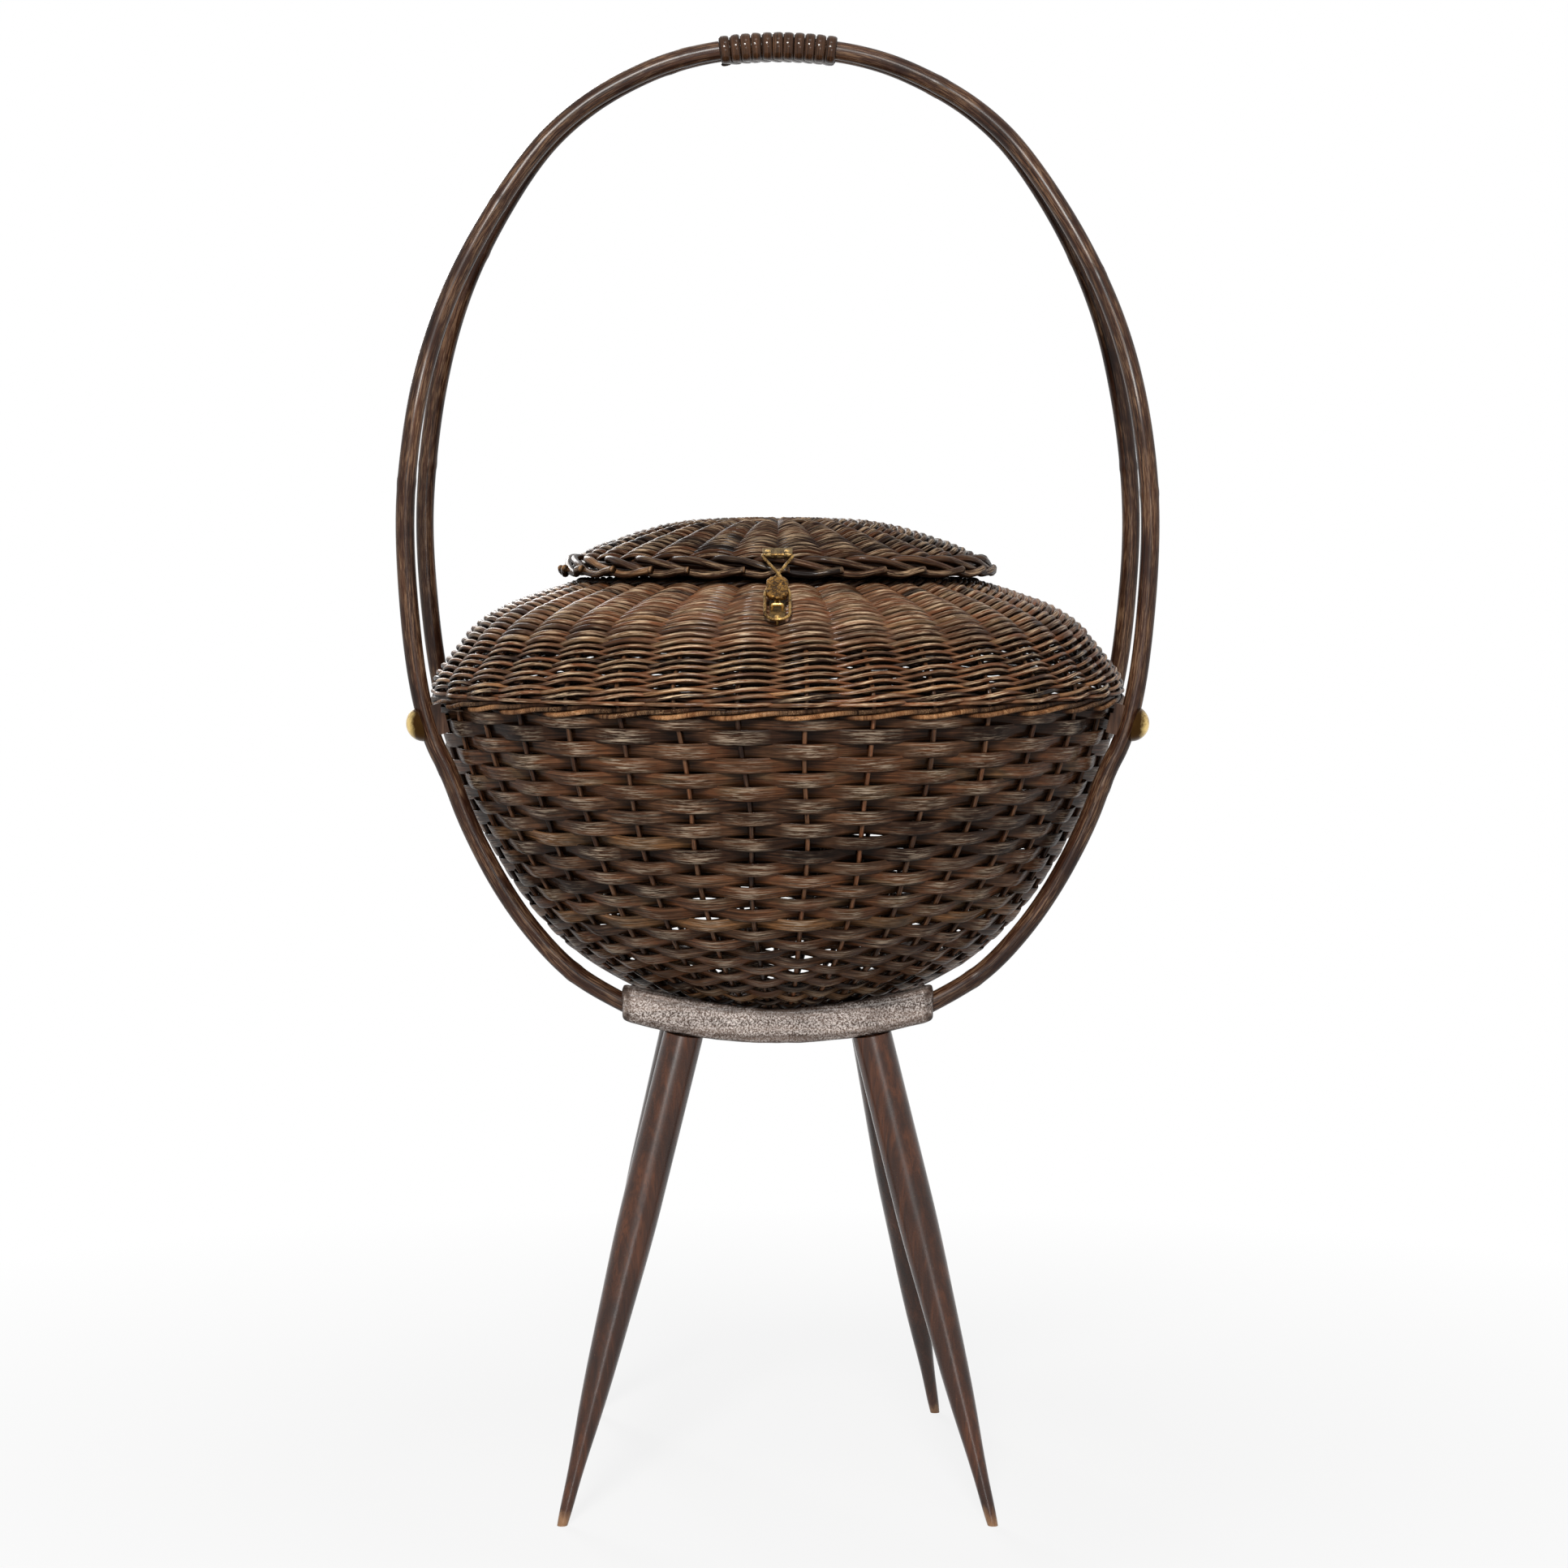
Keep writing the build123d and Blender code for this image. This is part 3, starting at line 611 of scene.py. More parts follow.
dark_tones = tone_stops(
    (0.0, 30, 18, 12), (0.25, 62, 40, 27), (0.45, 90, 62, 43),
    (0.6, 96, 60, 38), (0.75, 92, 70, 50), (1.0, 136, 94, 58),
)
rod_tones = tone_stops(
    (0.0, 34, 20, 13), (0.25, 74, 47, 31), (0.45, 110, 75, 51),
    (0.6, 118, 71, 43), (0.75, 108, 82, 58), (1.0, 150, 104, 66),
)
wale_tones = tone_stops((0.0, 30, 18, 12), (0.35, 70, 44, 29), (0.7, 138, 92, 58), (1.0, 190, 138, 92))
border_tones = tone_stops(
    (0.0, 26, 16, 11), (0.45, 62, 39, 26), (0.75, 86, 55, 36), (1.0, 150, 108, 70)
)
hoop_tones = tone_stops((0.0, 24, 13, 8), (0.5, 56, 32, 21), (1.0, 100, 66, 44))
binding_tones = tone_stops((0.0, 36, 23, 15), (0.5, 74, 49, 33), (1.0, 110, 78, 54))
woven_cane = cane(
    "woven_cane", dark_tones, colour(204, 184, 160), 0.5 * mm,
    fibre=(10, 560), highlight_share=0.7, coat=0.12, split=0.4,
)
rod_cane = cane(
    "rod_cane", rod_tones, colour(224, 196, 162), 1.8 * mm, crevice_shade=0.2, highlight_share=1.0, coat=0.22
)
loose_cane = cane(
    "loose_cane", rod_tones, colour(236, 206, 168), 1.2 * mm, crevice_shade=0.12, highlight_share=1.0, coat=0.26
)
# The lid faces the light, so its cane has painted shade: the rod cane's tones darkened.
lid_painted_shade = (0.4, 0.36, 0.33, 1.0)
lid_tones = []
for place, tint in rod_tones:
    lid_tones.append((place, [part * share for part, share in zip(tint, lid_painted_shade)]))
shaded_lid_cane = cane(
    "shaded_lid_cane", lid_tones, colour(214, 184, 150), 1.9 * mm, crevice_shade=0.12, highlight_share=0.9, coat=0.1
)
wale_cane = cane(
    "wale_cane", wale_tones, colour(232, 190, 146), 1.4 * mm, crevice_shade=0.2, fibre=(24, 1100)
)
border_cane = cane(
    "border_cane", border_tones, colour(214, 180, 142), 2.0 * mm, crevice_shade=0.18, highlight_share=0.9, coat=0.2
)
hoop_cane = cane(
    "hoop_cane", hoop_tones, colour(176, 140, 108),
    fibre=(5, 900), groove=0.2 * mm, gloss=0.2, highlight_share=0.7, coat=0.4, varnish=0.27,
)
binding_cane = cane(
    "binding_cane", binding_tones, colour(224, 200, 172), 1.3 * mm,
    fibre=(16, 1100), gloss=0.22, coat=0.35,
)
board_wood = wood(
    "board_wood", colour(46, 34, 28), colour(98, 80, 70), colour(140, 120, 108), "X", 0.3,
    painted_sheen=colour(232, 222, 216), coat=0.12,
)
stand_wood = wood(
    "stand_wood", colour(42, 22, 13), colour(62, 34, 20), colour(92, 53, 32), "Z", 0.2,
    worn=colour(150, 112, 80), worn_height=0.009, coat=0.6,
)
plain_tones = (colour(40, 26, 20), colour(74, 52, 40), colour(108, 82, 64))
rail_wood = wood("rail_wood", *plain_tones, along="Y", gloss=0.5)
block_wood = wood("block_wood", *plain_tones, along="Z", gloss=0.5)

brass = aged_brass("brass", colour(214, 176, 108), colour(132, 98, 52), gloss=0.2, share=0.42)
screw_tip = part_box("hoop_screws")[1][0]
screw_brass = aged_brass(
    "screw_brass", colour(226, 196, 128), colour(120, 86, 42), 95.0, 0.12, 0.42, screw_tip
)
wire_brass = aged_brass("wire_brass", colour(182, 146, 88), colour(72, 52, 30), 150.0, 0.3)
tab_brass = aged_brass("tab_brass", colour(172, 128, 66), colour(58, 42, 26), 330.0, 0.36, 0.57)
dull_brass = aged_brass("dull_brass", colour(132, 110, 72), colour(60, 46, 30), 200.0, 0.4)


# ---- woven pieces ----
stake_sway = Sway(0.006)


def tone_of_cane(middle=0.45, spread=0.17, bright=0.06):
    """Most lengths are about the same brown, and a few are tan."""
    if chance.random() < bright:
        return chance.uniform(0.85, 1.0)
    return float(np.clip(chance.normal(middle, spread), 0.03, 0.95))


def weave_bowl():
    """One flat reed spirals up, in front of one stake and behind the next."""
    section = reed_section(reed_width, reed_thickness)
    lowest, highest = reed_width * 0.1, bowl.length + reed_width * 0.1
    rows = (highest - lowest) / reed_pitch + 1
    shift = Waver(0.4 * mm, 0.4, 3.1)
    lean = Waver(0.06, 0.5, 4.5)
    narrow = Waver(0.03, 0.3, 2.5)
    thirds = [Strands() for _ in range(3)]
    last = spiral_start + rows * stake_count
    for start, end in lengths_of_cane(spiral_start, last, shortest=25, longest=62):
        place = np.linspace(start, end, int((end - start) * reed_steps) + 2)
        passed = place - spiral_start
        turn = place / stake_count * 2 * math.pi
        middle = lowest + (passed / stake_count - 0.5) * reed_pitch + shift(turn)
        # The first and last rows taper, so that the weave starts and ends level.
        bottom = np.clip(middle - reed_width / 2, lowest, highest - thinnest_reed)
        top = np.clip(middle + reed_width / 2, lowest + thinnest_reed, highest)
        middle = (bottom + top) / 2
        wave = over_and_under(place)
        # Partly a zigzag, because a flat reed runs straight from stake to stake.
        wave = 0.7 * wave + 0.3 * np.arcsin(0.96 * wave) / 1.287
        path, normals = bowl.swayed(turn, middle, reed_reach * wave - bowl_middle, stake_sway)
        part = min(int(3 * passed[0] / (rows * stake_count)), 2)
        thirds[part].add(
            path, normals, section, tone_of_cane(), raised=0.5 + 0.5 * wave, scale=1 + narrow(turn),
            width=(top - bottom) / reed_width, tilt=lean(turn),
        )
    for number, strands in enumerate(thirds):
        strands.piece(f"bowl_reed_{number + 1}", "basket", woven_cane, "woven_cane", "bowl_weave")


def twine(
    strands, profile, stakes, start, rows, pitch, rod, reach, middle, sway, cross=0.36, shift=0.25 * mm
):
    """Pairing: two rods spiral up together and cross between the stakes.

    They reach out of the weave's middle, which lies inside the outline, and are apart by cross rod
    thicknesses either way.
    """
    section = round_section(rod)
    uneven = Waver(shift, 0.4, 2.7)
    thick = Waver(0.05, 0.5, 3.5)
    first = stakes // 2
    for side in (1, -1):
        for join, following in lengths_of_cane(first, first + rows * stakes, 22, 60, side):
            place = np.linspace(join, following, int((following - join) * rod_steps) + 2)
            turn = place / stakes * 2 * math.pi
            wave = over_and_under(place, side)
            apart = side * cross * rod * np.sin(math.pi * (place - 0.5))
            distance = start + (place - first) / stakes * pitch + apart + uneven(turn)
            distance = np.clip(distance, rod * 0.3, profile.length - rod * 0.3)
            path, normals = profile.swayed(turn, distance, reach * wave - middle, sway)
            strands.add(
                path, normals, section, tone_of_cane(), raised=0.5 + 0.5 * wave, scale=1 + thick(turn)
            )


def weave_shoulder():
    """Loose rods over the band, then tight ones up to the opening."""
    start = rod_pitch * -0.5
    loose = Strands()
    twine(
        loose, shoulder, stake_count, start, loose_rows, rod_pitch, loose_rod, rod_reach,
        shoulder_middle, stake_sway, cross=0.7, shift=0.4 * mm,
    )
    loose.piece("shoulder_rods_open", "basket", loose_cane, "woven_cane", "shoulder_weave")
    tight = Strands()
    start += loose_rows * rod_pitch
    rows = (shoulder.length - start) / rod_pitch + 0.5
    twine(
        tight, shoulder, stake_count, start, rows, rod_pitch, tight_rod, rod_reach,
        shoulder_middle, stake_sway,
    )
    tight.piece("shoulder_rods_close", "basket", rod_cane, "woven_cane", "shoulder_weave")


def weave_stakes():
    """Round stakes from the base, through the band, to the opening."""
    strands = Strands()
    section = round_section(stake_size, 8)
    for number in range(stake_count):
        turn = (number + 0.5) / stake_count * 2 * math.pi
        rows = []
        for profile, middle, count in ((bowl, bowl_middle, 60), (shoulder, shoulder_middle, 40)):
            distance = np.linspace(0, profile.length, count)
            rows.append(profile.swayed(turn, distance, np.full(count, -middle), stake_sway))
        path = np.concatenate([rows[0][0], rows[1][0][1:]])
        normals = np.concatenate([rows[0][1], rows[1][1][1:]])
        tone = tone_of_cane(0.4, 0.12, 0.0)
        strands.add(path, normals, section, tone, raised=0.55, scale=1 + chance.uniform(-0.06, 0.1))
    strands.piece("basket_stakes", "basket", rod_cane, "woven_cane", "bowl_weave")


def weave_band():
    """Three-rod wale: each rod passes in front of two stakes and behind one."""
    strands = Strands()
    section = round_section(wale_rod)
    middle_radius = band_radius - wale_rod
    middle_height = (band_bottom + band_top) / 2
    # By the number of stakes passed, how far the rod is in front, how high it is, and how light it is
    # painted.
    in_front = [(0.0, -0.8), (0.3, 0.7), (1.0, 1.0), (1.6, 0.3), (2.1, -0.6), (2.5, -1.0), (3.0, -0.8)]
    rise = [(0.0, -0.8), (0.3, -1.0), (1.15, 0.3), (2.0, 1.0), (2.5, 0.8), (3.0, -0.8)]
    bright = [(0.0, 0.1), (0.2, 0.85), (0.9, 0.9), (1.25, 0.25), (2.0, 0.15), (3.0, 0.1)]
    uneven = Waver(0.25 * mm, 0.5, 4.0)
    steps = 12
    for rod in range(3):
        passed = np.linspace(-stake_count / 2, stake_count / 2, stake_count * steps)
        turn = passed / stake_count * 2 * math.pi
        phase = (passed - rod) % 3
        wave = eased(phase, in_front)
        height = middle_height + eased(phase, rise) * wale_rise + uneven(turn)
        turn = turn + stake_sway(turn, height)
        path = around(turn, middle_radius + wave * wale_reach, height)
        normals = around(turn, 1, 0 * turn)
        # Painted light: lighter where the rod comes forward low, darker where it rises and goes behind,
        # times the cane's own uneven tone.
        tone = eased(phase, bright) * (0.8 + Waver(0.25, 0.5, 1.6)(passed))
        strands.add(path, normals, section, tone, raised=0.5 + 0.5 * wave)
    strands.piece("rim_wale", "basket", wale_cane, "wale_cane", "rim_band")


def eased(position, knots):
    """Values between the knots, with level starts and ends."""
    places = np.array([k[0] for k in knots])
    values = np.array([k[1] for k in knots])
    k = np.clip(np.searchsorted(places, position, side="right") - 1, 0, len(knots) - 2)
    share = (position - places[k]) / (places[k + 1] - places[k])
    return between(values[k], values[k + 1], share * share * (3 - 2 * share))


def weave_opening():
    """Rolled border round the opening: four rods laid like a rope."""
    strands = Strands()
    ring_radius = mouth_radius - (mouth_top - mouth_bottom) / 2
    ring_height = (mouth_top + mouth_bottom) / 2
    section = round_section(roll_rod)
    rods = 4
    count = 900
    for number in range(rods):
        turn = np.arange(count) / count * 2 * math.pi
        winding = turn * roll_windings + number * 2 * math.pi / rods
        out, up = np.cos(winding), np.sin(winding)
        path = around(turn, ring_radius + roll_reach * out, ring_height + roll_reach * up)
        normals = around(turn, out, up)
        strands.add(path, normals, section, chance.uniform(0.2, 0.8), raised=0.6, closed=True)
    strands.piece("opening_roll", "basket", border_cane, "woven_cane", "opening_border")


def woven_round(name, body, profile, stakes, rod, pitch, reach, middle, material, slot, *nodes):
    """A round of twined rods from its edge to a cross of thick sticks at the centre.

    Further in than outer, the rods pass every second stake only, and the other stakes end.
    """
    strands = Strands()
    sway = Sway(0.008)
    outer = profile.length * 0.6
    rows = round((outer - pitch * 0.3) / pitch)
    twine(strands, profile, stakes, pitch * 0.3, rows, pitch, rod, reach, middle, sway)
    start = pitch * (0.3 + rows)
    rows = (profile.length - 9 * mm - start) / pitch
    twine(strands, profile, stakes // 2, start, rows, pitch, rod, reach, middle, sway)
    strands.piece(name + "_rods", body, material, slot, *nodes)
    spokes = Strands()
    section = round_section(stake_size)
    for number in range(stakes):
        turn = (number + 0.5) / stakes * 2 * math.pi
        reaches_in = profile.length if number % 2 == 0 else outer + 6 * mm
        distance = np.linspace(0, reaches_in, 50)
        inward = np.clip((distance - outer) / (profile.length - outer), 0, 1)
        closing = 0.0 if number % 2 else math.pi / stakes
        path, normals = profile.swayed(turn, distance, np.full(50, -middle), sway, closing * inward)
        spokes.add(path, normals, section, tone_of_cane(0.42, 0.12), raised=0.55)
    # The cross of sticks that the weave starts from.
    centre_height = profile.line[-1, 1] - middle
    for layer, direction in ((1, (1, 0)), (-1, (0, 1))):
        for place in (-1.5, -0.5, 0.5, 1.5):
            half = np.array([*direction, 0.0]) * cross_half
            offset = np.array([direction[1], direction[0], 0.0]) * place * cross_stick
            lift = np.array([0, 0, centre_height + layer * reach * 0.75])
            share = np.linspace(-1, 1, 9)[:, None]
            path = offset + half * share + lift
            path[:, 2] -= (np.abs(share[:, 0]) ** 2) * layer * reach * 0.6
            up = np.tile([0.0, 0.0, 1.0], (9, 1))
            spokes.add(path, up, round_section(cross_stick), tone_of_cane(), raised=0.75)
    spokes.piece(name + "_spokes", body, material, slot, *nodes)


def weave_lid_border():
    """Each stake's end bends out over the edge, runs along it and is cut off past the third."""
    strands = Strands()
    section = round_section(border_rod, 10)
    # Pitches along the edge, then the mm inside the lid's edge and below its top.
    route = [
        (-0.15, 15.0, 4.5), (0.0, 12.5, 2.2), (0.25, 7.8, 0.7), (0.5, 4.8, 0.8), (0.85, 3.3, 2.3),
        (1.2, 2.4, 4.6), (1.55, 1.9, 7.2), (1.9, 1.3, 9.0), (2.25, 0.2, 9.3), (2.55, -0.9, 8.2),
        (2.85, -1.5, 6.6),
    ]
    pitch = 2 * math.pi / lid_stake_count
    for number in range(lid_stake_count):
        start = (number + 0.5) * pitch + chance.uniform(-0.06, 0.06) * pitch
        cut = chance.uniform(-0.22, 0.1)
        knots = []
        for along, inside, below in route:
            turn = start + (along + cut * (along > 2.4)) * pitch
            radius = lid_radius - inside * mm + chance.uniform(-0.25, 0.25) * mm
            height = lid_top - below * mm + chance.uniform(-0.3, 0.3) * mm
            knots.append((radius * math.sin(turn), -radius * math.cos(turn), height))
        path = smooth_curve(knots, 46)
        normals = unit(unit(path * (1, 1, 0)) + np.array([0, 0, 0.6]))
        swell = 1 + Waver(0.04, 8, 30)(np.linspace(0, 1, len(path)))
        tone = np.full(len(path), tone_of_cane(0.45, 0.17, 0.1))
        # The cut shows paler wood.
        tone[-1:] = 0.85
        # raised grows along each rod, so its painted highlight grows towards the cut end.
        raised = np.linspace(0.45, 0.95, len(path))
        strands.add(path, normals, section, tone, raised=raised, scale=swell)
    # Rods that fill the border's core: mm inside and below, and their thickness in mm.
    for inside, below, rod in ((9.0, 4.2, 5.0), (5.9, 8.2, 4.4), (10.4, 8.6, 4.4)):
        count = 220
        turn = np.arange(count) / count * 2 * math.pi
        radius = lid_radius - inside * mm + 0.3 * mm * np.sin(lid_stake_count * turn)
        height = lid_top - below * mm + 0.3 * mm * np.cos(lid_stake_count * turn)
        path, normals = around(turn, radius, height), around(turn, 1, 0 * turn)
        strands.add(path, normals, round_section(rod * mm), 0.35, raised=0.4, closed=True)
    strands.piece("lid_border_rods", "lid", border_cane, "woven_cane", "lid_border")


weave_bowl()
weave_stakes()
weave_shoulder()
weave_band()
weave_opening()
woven_round(
    "lid", "lid", dome, lid_stake_count, lid_rod, lid_rod_pitch, lid_reach, lid_middle,
    shaded_lid_cane, "woven_cane", "lid_weave",
)
weave_lid_border()
woven_round(
    "base", "basket", base, base_stake_count, base_rod, base_rod_pitch, base_reach, base_middle,
    rod_cane, "woven_cane", "basket_base",
)


# ---- hoops ----
# Shares of the hoop's half width, of the way up from the screw to the top, and of the way
# from the hoops' place at the top to their spread at the basket.
upper_shape = [
    (0.9834, 0.090, 0.960), (1.003, 0.232, 0.910), (0.998, 0.339, 0.894), (0.967, 0.469, 0.810),
    (0.909, 0.592, 0.545), (0.816, 0.708, 0.300), (0.678, 0.830, 0.135), (0.570, 0.893, 0.078),
    (0.443, 0.941, 0.037),
]
# Shares of the way out and up, from the board's end to the screw.
lower_shape = [(0.910, 0.890), (0.790, 0.665), (0.545, 0.360), (0.2475, 0.118)]
hoop_size = 11.0 * mm
hoop_half_width = band_radius + 9.1 * mm
hoop_spread = 68.0 * mm
hoop_top = 853.0 * mm
crown_offset = 5.75 * mm
crown_radius = 230.0 * mm
crown_half_width = 38.0 * mm
crown_run = 22.0 * mm
screw_place = np.array([203.95 * mm, hoop_spread, 455.5 * mm])
screw_lean = math.radians(16.3)
screw_run = 13.0 * mm
board_end = np.array([91.0 * mm, hoop_spread, 291.8 * mm])
entry_angle = math.radians(26.0)
entry_run = 14.5 * mm        # straight part out of the board
entry_depth = 12 * mm        # and into it


def hoop_line(side):
    """A hoop's centreline from its left end in the board to its right end."""
    drop_angle = math.asin(crown_half_width / crown_radius)
    drop = crown_radius * (1 - math.cos(drop_angle))
    crown_end = np.array([crown_half_width, crown_offset, hoop_top - drop])
    beyond = crown_end + np.array([math.cos(drop_angle), 0, -math.sin(drop_angle)]) * crown_run
    run = np.array([math.sin(screw_lean), 0, math.cos(screw_lean)]) * screw_run
    run_top, run_bottom = screw_place + run, screw_place - run
    flank = [crown_end, beyond]
    for out, up, spread in reversed(upper_shape):
        depth = between(crown_offset, hoop_spread, spread)
        flank.append((hoop_half_width * out, depth, between(run_top[2], hoop_top, up)))
    flank += [run_top, run_bottom]
    entry = np.array([math.cos(entry_angle), 0, math.sin(entry_angle)])
    bend = board_end + entry * entry_run
    for out, up in lower_shape:
        place = between(bend[0], run_bottom[0], out)
        flank.append((place, hoop_spread, between(bend[2], run_bottom[2], up)))
    flank += [bend, board_end - entry * entry_depth]
    right = touching_curve(flank)
    angles = np.linspace(-drop_angle, drop_angle, 12)[1:-1]
    heights = hoop_top - crown_radius * (1 - np.cos(angles))
    crown = np.stack([crown_radius * np.sin(angles), np.full(10, crown_offset), heights], 1)
    left = (right * (-1, 1, 1))[::-1]
    return resampled(np.concatenate([left, crown, right]) * (1, side, 1), 700)


def bend_hoop(side, name, node):
    """A hoop of one cane that swells a little here and there, and at its joints."""
    strands = Strands()
    path = hoop_line(side)
    along = lengths_along(path)
    scale = 1 + 0.012 * np.sin(along * 31 + side) + 0.008 * np.sin(along * 83 + 2 * side)
    place = chance.uniform(30, 90) * mm
    while place < along[-1]:
        near = (along - place) / (2.6 * mm)
        ridge = np.exp(-(near**2)) - 0.6 * np.exp(-((near * 3.2) ** 2))
        scale = scale + node_swell / (hoop_size / 2) * ridge
        place += node_distance * chance.uniform(0.8, 1.15)
    normals = np.tile([0.0, float(side), 0.0], (len(path), 1))
    strands.add(path, normals, round_section(hoop_size, 28), 0.5, raised=0.75, scale=scale)
    strands.piece(name, "basket", hoop_cane, "hoop_cane", node)


bend_hoop(-1, "hoop_front_cane", "front_hoop")
bend_hoop(1, "hoop_rear_cane", "rear_hoop")


def bind_hoops():
    """One flat cane wound round both hoops, with its ends underneath."""
    strands = Strands()
    half = hoop_size / 2 + binding_thickness / 2 + 0.1 * mm
    ring = []
    bend = np.linspace(-math.pi / 2, math.pi / 2, 14)
    # Racetrack round both hoops: behind and over, then in front and underneath.
    for y, start, run in ((crown_offset, 0.0, 5), (-crown_offset, math.pi, 8)):
        for angle in bend + start:
            out, up = math.cos(angle), math.sin(angle)
            ring.append((y + half * out, half * up, out, up))
        for beyond in np.linspace(y, -y, run)[1:-1]:
            ring.append((beyond, half * up, 0.0, up))
    ring = np.array(ring)
    per_turn = len(ring)
    turns = np.arange(binding_wraps * per_turn - 5)
    share = turns / per_turn
    # Each wrap steps on to the next underneath, over seven points.
    step = np.clip((turns % per_turn - (per_turn - 7)) / 7, 0, 1)
    across = (np.floor(share) + step - (binding_wraps - 1) / 2) * binding_step
    at = ring[turns % per_turn]
    angle = across / crown_radius
    radial = crown_radius + at[:, 1]
    height = hoop_top - crown_radius + radial * np.cos(angle)
    path = np.stack([radial * np.sin(angle), at[:, 0], height], 1)
    normals = np.stack([at[:, 3] * np.sin(angle), at[:, 2], at[:, 3] * np.cos(angle)], 1)
    section = reed_section(binding_width, binding_thickness)
    # raised rises and falls once round each wrap, and sets where on it the painted highlight falls.
    raised = 0.6 + 0.3 * np.sin(share * 2 * math.pi)
    scale = 1 + Waver(0.03, 0.5, 3)(share)
    tilt = Waver(0.06, 0.5, 2)(share)
    strands.add(path, normals, section, 0.5, raised=raised, scale=scale, tilt=tilt)
    strands.piece("hoop_binding_cane", "basket", binding_cane, "binding_cane", "hoop_binding")


bind_hoops()


# ---- stand, fixings and clasp ----
def softened(node, name, body, material, slot, width):
    """The CAD node with worn, rounded edges."""
    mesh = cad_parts[node].data.copy()
    shape = bmesh.new()
    shape.from_mesh(mesh)
    bmesh.ops.remove_doubles(shape, verts=shape.verts, dist=0.002 * mm)
    bmesh.ops.dissolve_limit(shape, angle_limit=0.01, verts=shape.verts, edges=shape.edges)
    sharp = [e for e in shape.edges if len(e.link_faces) == 2 and e.calc_face_angle(0) > 0.5]
    bmesh.ops.bevel(
        shape, geom=sharp, offset=width, segments=3, affect="EDGES", profile=0.6, clamp_overlap=True
    )
    shape.to_mesh(mesh)
    shape.free()
    mesh.shade_smooth()
    mesh.set_sharp_from_angle(angle=0.6)
    return placed(mesh, name, body, material, slot, node)


def evened(mesh, kind, **settings):
    """The mesh after one modifier."""
    holder = added_object("holder", mesh)
    modifier = holder.modifiers.new(kind, kind)
    for setting, value in settings.items():
        setattr(modifier, setting, value)
    evaluated = holder.evaluated_get(bpy.context.evaluated_depsgraph_get())
    made = bpy.data.meshes.new_from_object(evaluated)
    bpy.data.objects.remove(holder)
    return made


def handmade(node, name, body, material, slot, voxel, rounding, dents, dent_size):
    """The CAD node with its corners rounded off and its faces uneven.

    How far a point was rounded in is kept as "edge", for the wood's painted shade and sheen.
    """
    even = evened(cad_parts[node].data.copy(), "REMESH", mode="VOXEL", voxel_size=voxel)
    mesh = evened(even, "SMOOTH", factor=0.5, iterations=rounding)
    before, after = (np.empty(len(mesh.vertices) * 3) for _ in range(2))
    even.vertices.foreach_get("co", before)
    mesh.vertices.foreach_get("co", after)
    moved = np.linalg.norm((after - before).reshape(-1, 3), axis=1)
    edge = mesh.attributes.new("edge", "FLOAT", "POINT")
    edge.data.foreach_set("value", (moved / (0.8 * voxel)).astype(np.float32))
    dent = np.array([noise.noise(Vector(point) / dent_size) for point in after.reshape(-1, 3)])
    normals = np.empty(len(mesh.vertices) * 3)
    mesh.vertices.foreach_get("normal", normals)
    mesh.vertices.foreach_set("co", after + normals * np.repeat(dent, 3) * dents)
    mesh.shade_smooth()
    placed(mesh, name, body, material, slot, node)


def finish_nodes(material, *nodes):
    """Gives CAD nodes that stay as they are their material."""
    for node in nodes:
        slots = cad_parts[node].material_slots
        if not slots:
            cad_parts[node].data.materials.append(material)
        for s in slots:
            s.material = material


for side in ("front", "rear"):
    board = f"{side}_board"
    handmade(
        board, board + "_wood", "basket", board_wood, "board_wood",
        voxel=1.4 * mm, rounding=20, dents=0.3 * mm, dent_size=9 * mm,
    )
for side in ("left", "right"):
    rail = f"cross_rail_{side}"
    softened(rail, rail + "_wood", "basket", rail_wood, "stand_wood", 0.8 * mm)
finish_nodes(stand_wood, "leg_front_left", "leg_front_right", "leg_rear_left", "leg_rear_right")
finish_nodes(block_wood, "backing_blocks", "hoop_spacers")
finish_nodes(screw_brass, "hoop_screws", "hoop_nuts")
finish_nodes(brass, "catch_staple", "catch_rivets", "clasp_plate_rivets")
finish_nodes(wire_brass, "clasp_wire", "lid_hinge_rings")
finish_nodes(dull_brass, "catch_plate")
handmade(
    "clasp_tab", "clasp_tab_brass", "clasp_loop", tab_brass, "brass",
    voxel=0.35 * mm, rounding=10, dents=0.28 * mm, dent_size=1.6 * mm,
)
handmade(
    "clasp_plate", "clasp_plate_brass", "lid", dull_brass, "brass",
    voxel=0.3 * mm, rounding=2, dents=0.08 * mm, dent_size=1.6 * mm,
)


# ---- floor, light and camera ----
floor_half = 6.0
white_from, white_to = 0.25, 0.9     # distances over which the floor runs out to white
object_middle = (0, 0, 0.42)
camera_place = (0.0037, -2.30, 0.567)
camera_dip = 3.78
lens = 88.1


def seen_white(m, surface, white, share):
    """Mixes in plain white for the camera, and for what metal and glass show of it."""
    rays = m.node("LightPath").outputs
    seen = m.math("MAXIMUM", rays["Is Camera Ray"], rays["Is Glossy Ray"])
    seen = m.math("MAXIMUM", seen, rays["Is Transmission Ray"])
    mixed = m.node("MixShader")
    m.put(m.times(seen, share), mixed.inputs[0])
    m.put(surface, mixed.inputs[1])
    m.put(white, mixed.inputs[2])
    return mixed.outputs[0]


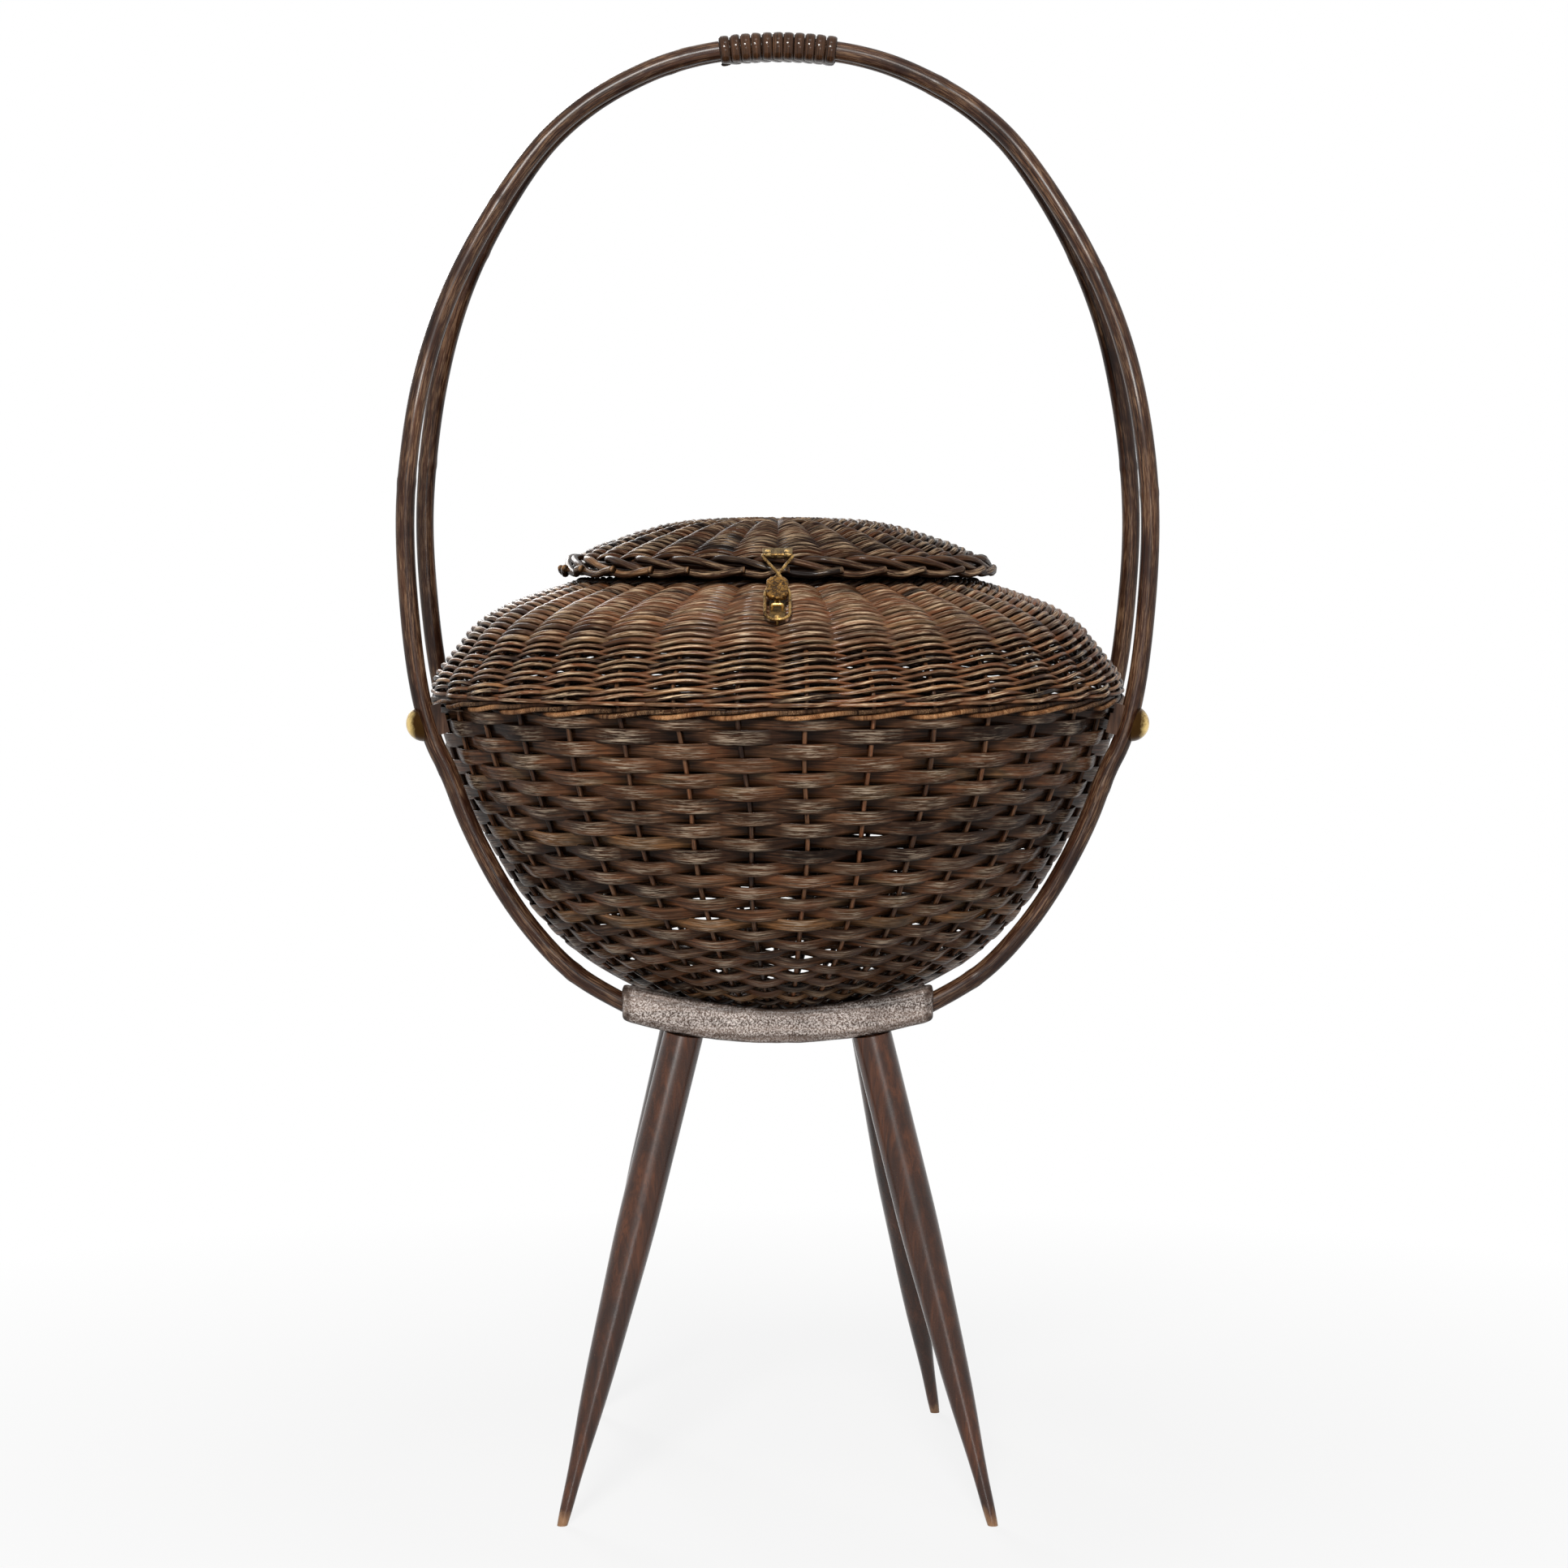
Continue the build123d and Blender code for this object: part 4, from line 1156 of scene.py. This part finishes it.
def make_floor():
    """A pale sheet that keeps the object's shadow near it and runs out to white."""
    mesh = bpy.data.meshes.new("floor")
    corners = [(x * floor_half, y * floor_half, 0) for x, y in ((-1, -1), (1, -1), (1, 1), (-1, 1))]
    mesh.from_pydata(corners, [], [(0, 1, 2, 3)])
    floor = added_object("floor", mesh)
    m = Shader("floor_paper", Base_Color=(0.6, 0.6, 0.6, 1), Roughness=0.9, Specular_IOR_Level=0.2)
    away = m.node("VectorMath", operation="LENGTH")
    m.put(m.node("TexCoord").outputs["Object"], away.inputs[0])
    share = m.span(away.outputs["Value"], white_from, white_to, 0.84, 1.0)
    glow = m.node("Emission")
    mixed = seen_white(m, m.surface.outputs[0], glow.outputs[0], share)
    m.put(mixed, m.tree.nodes["Material Output"].inputs["Surface"])
    mesh.materials.append(m.material)


def make_world():
    """Soft light from all round, in front of plain white."""
    world = bpy.data.worlds.new("studio")
    bpy.context.scene.world = world
    world.use_nodes = True
    m = Nodes(world.node_tree)
    soft = m.tree.nodes["Background"]
    soft.inputs["Color"].default_value = (0.93, 0.96, 1.0, 1)
    soft.inputs["Strength"].default_value = 0.11
    white = m.node("Background")
    white.inputs["Color"].default_value = (1, 1, 1, 1)
    mixed = seen_white(m, soft.outputs[0], white.outputs[0], 1.0)
    m.put(mixed, m.tree.nodes["World Output"].inputs["Surface"])


def make_lamp(name, place, size, power, tint=(1, 1, 1)):
    lamp = bpy.data.lights.new(name, "AREA")
    lamp.shape = "RECTANGLE"
    lamp.size, lamp.size_y = size
    lamp.energy = power
    lamp.color = tint
    holder = added_object(name, lamp)
    holder.location = place
    aim = Vector(object_middle) - Vector(place)
    holder.rotation_euler = aim.to_track_quat("-Z", "Y").to_euler()


def make_camera():
    camera = bpy.data.cameras.new("camera")
    camera.sensor_width = 36.0
    camera.lens = lens
    holder = added_object("camera", camera)
    holder.location = camera_place
    holder.rotation_euler = (math.radians(90 - camera_dip), 0, 0)
    bpy.context.scene.camera = holder


make_floor()
make_world()
make_lamp("key", (-0.2, -2.2, 1.75), (0.45, 0.45), 54.0, (1.0, 0.98, 0.95))
make_lamp("fill", (0.25, -2.4, 0.5), (0.5, 0.4), 5.0)
make_lamp("top", (0.1, -1.0, 2.4), (0.5, 0.5), 4.5)
make_lamp("behind", (-0.9, 2.2, 1.5), (0.8, 1.2), 32.0)
make_camera()
bpy.context.scene.view_settings.view_transform = "Standard"
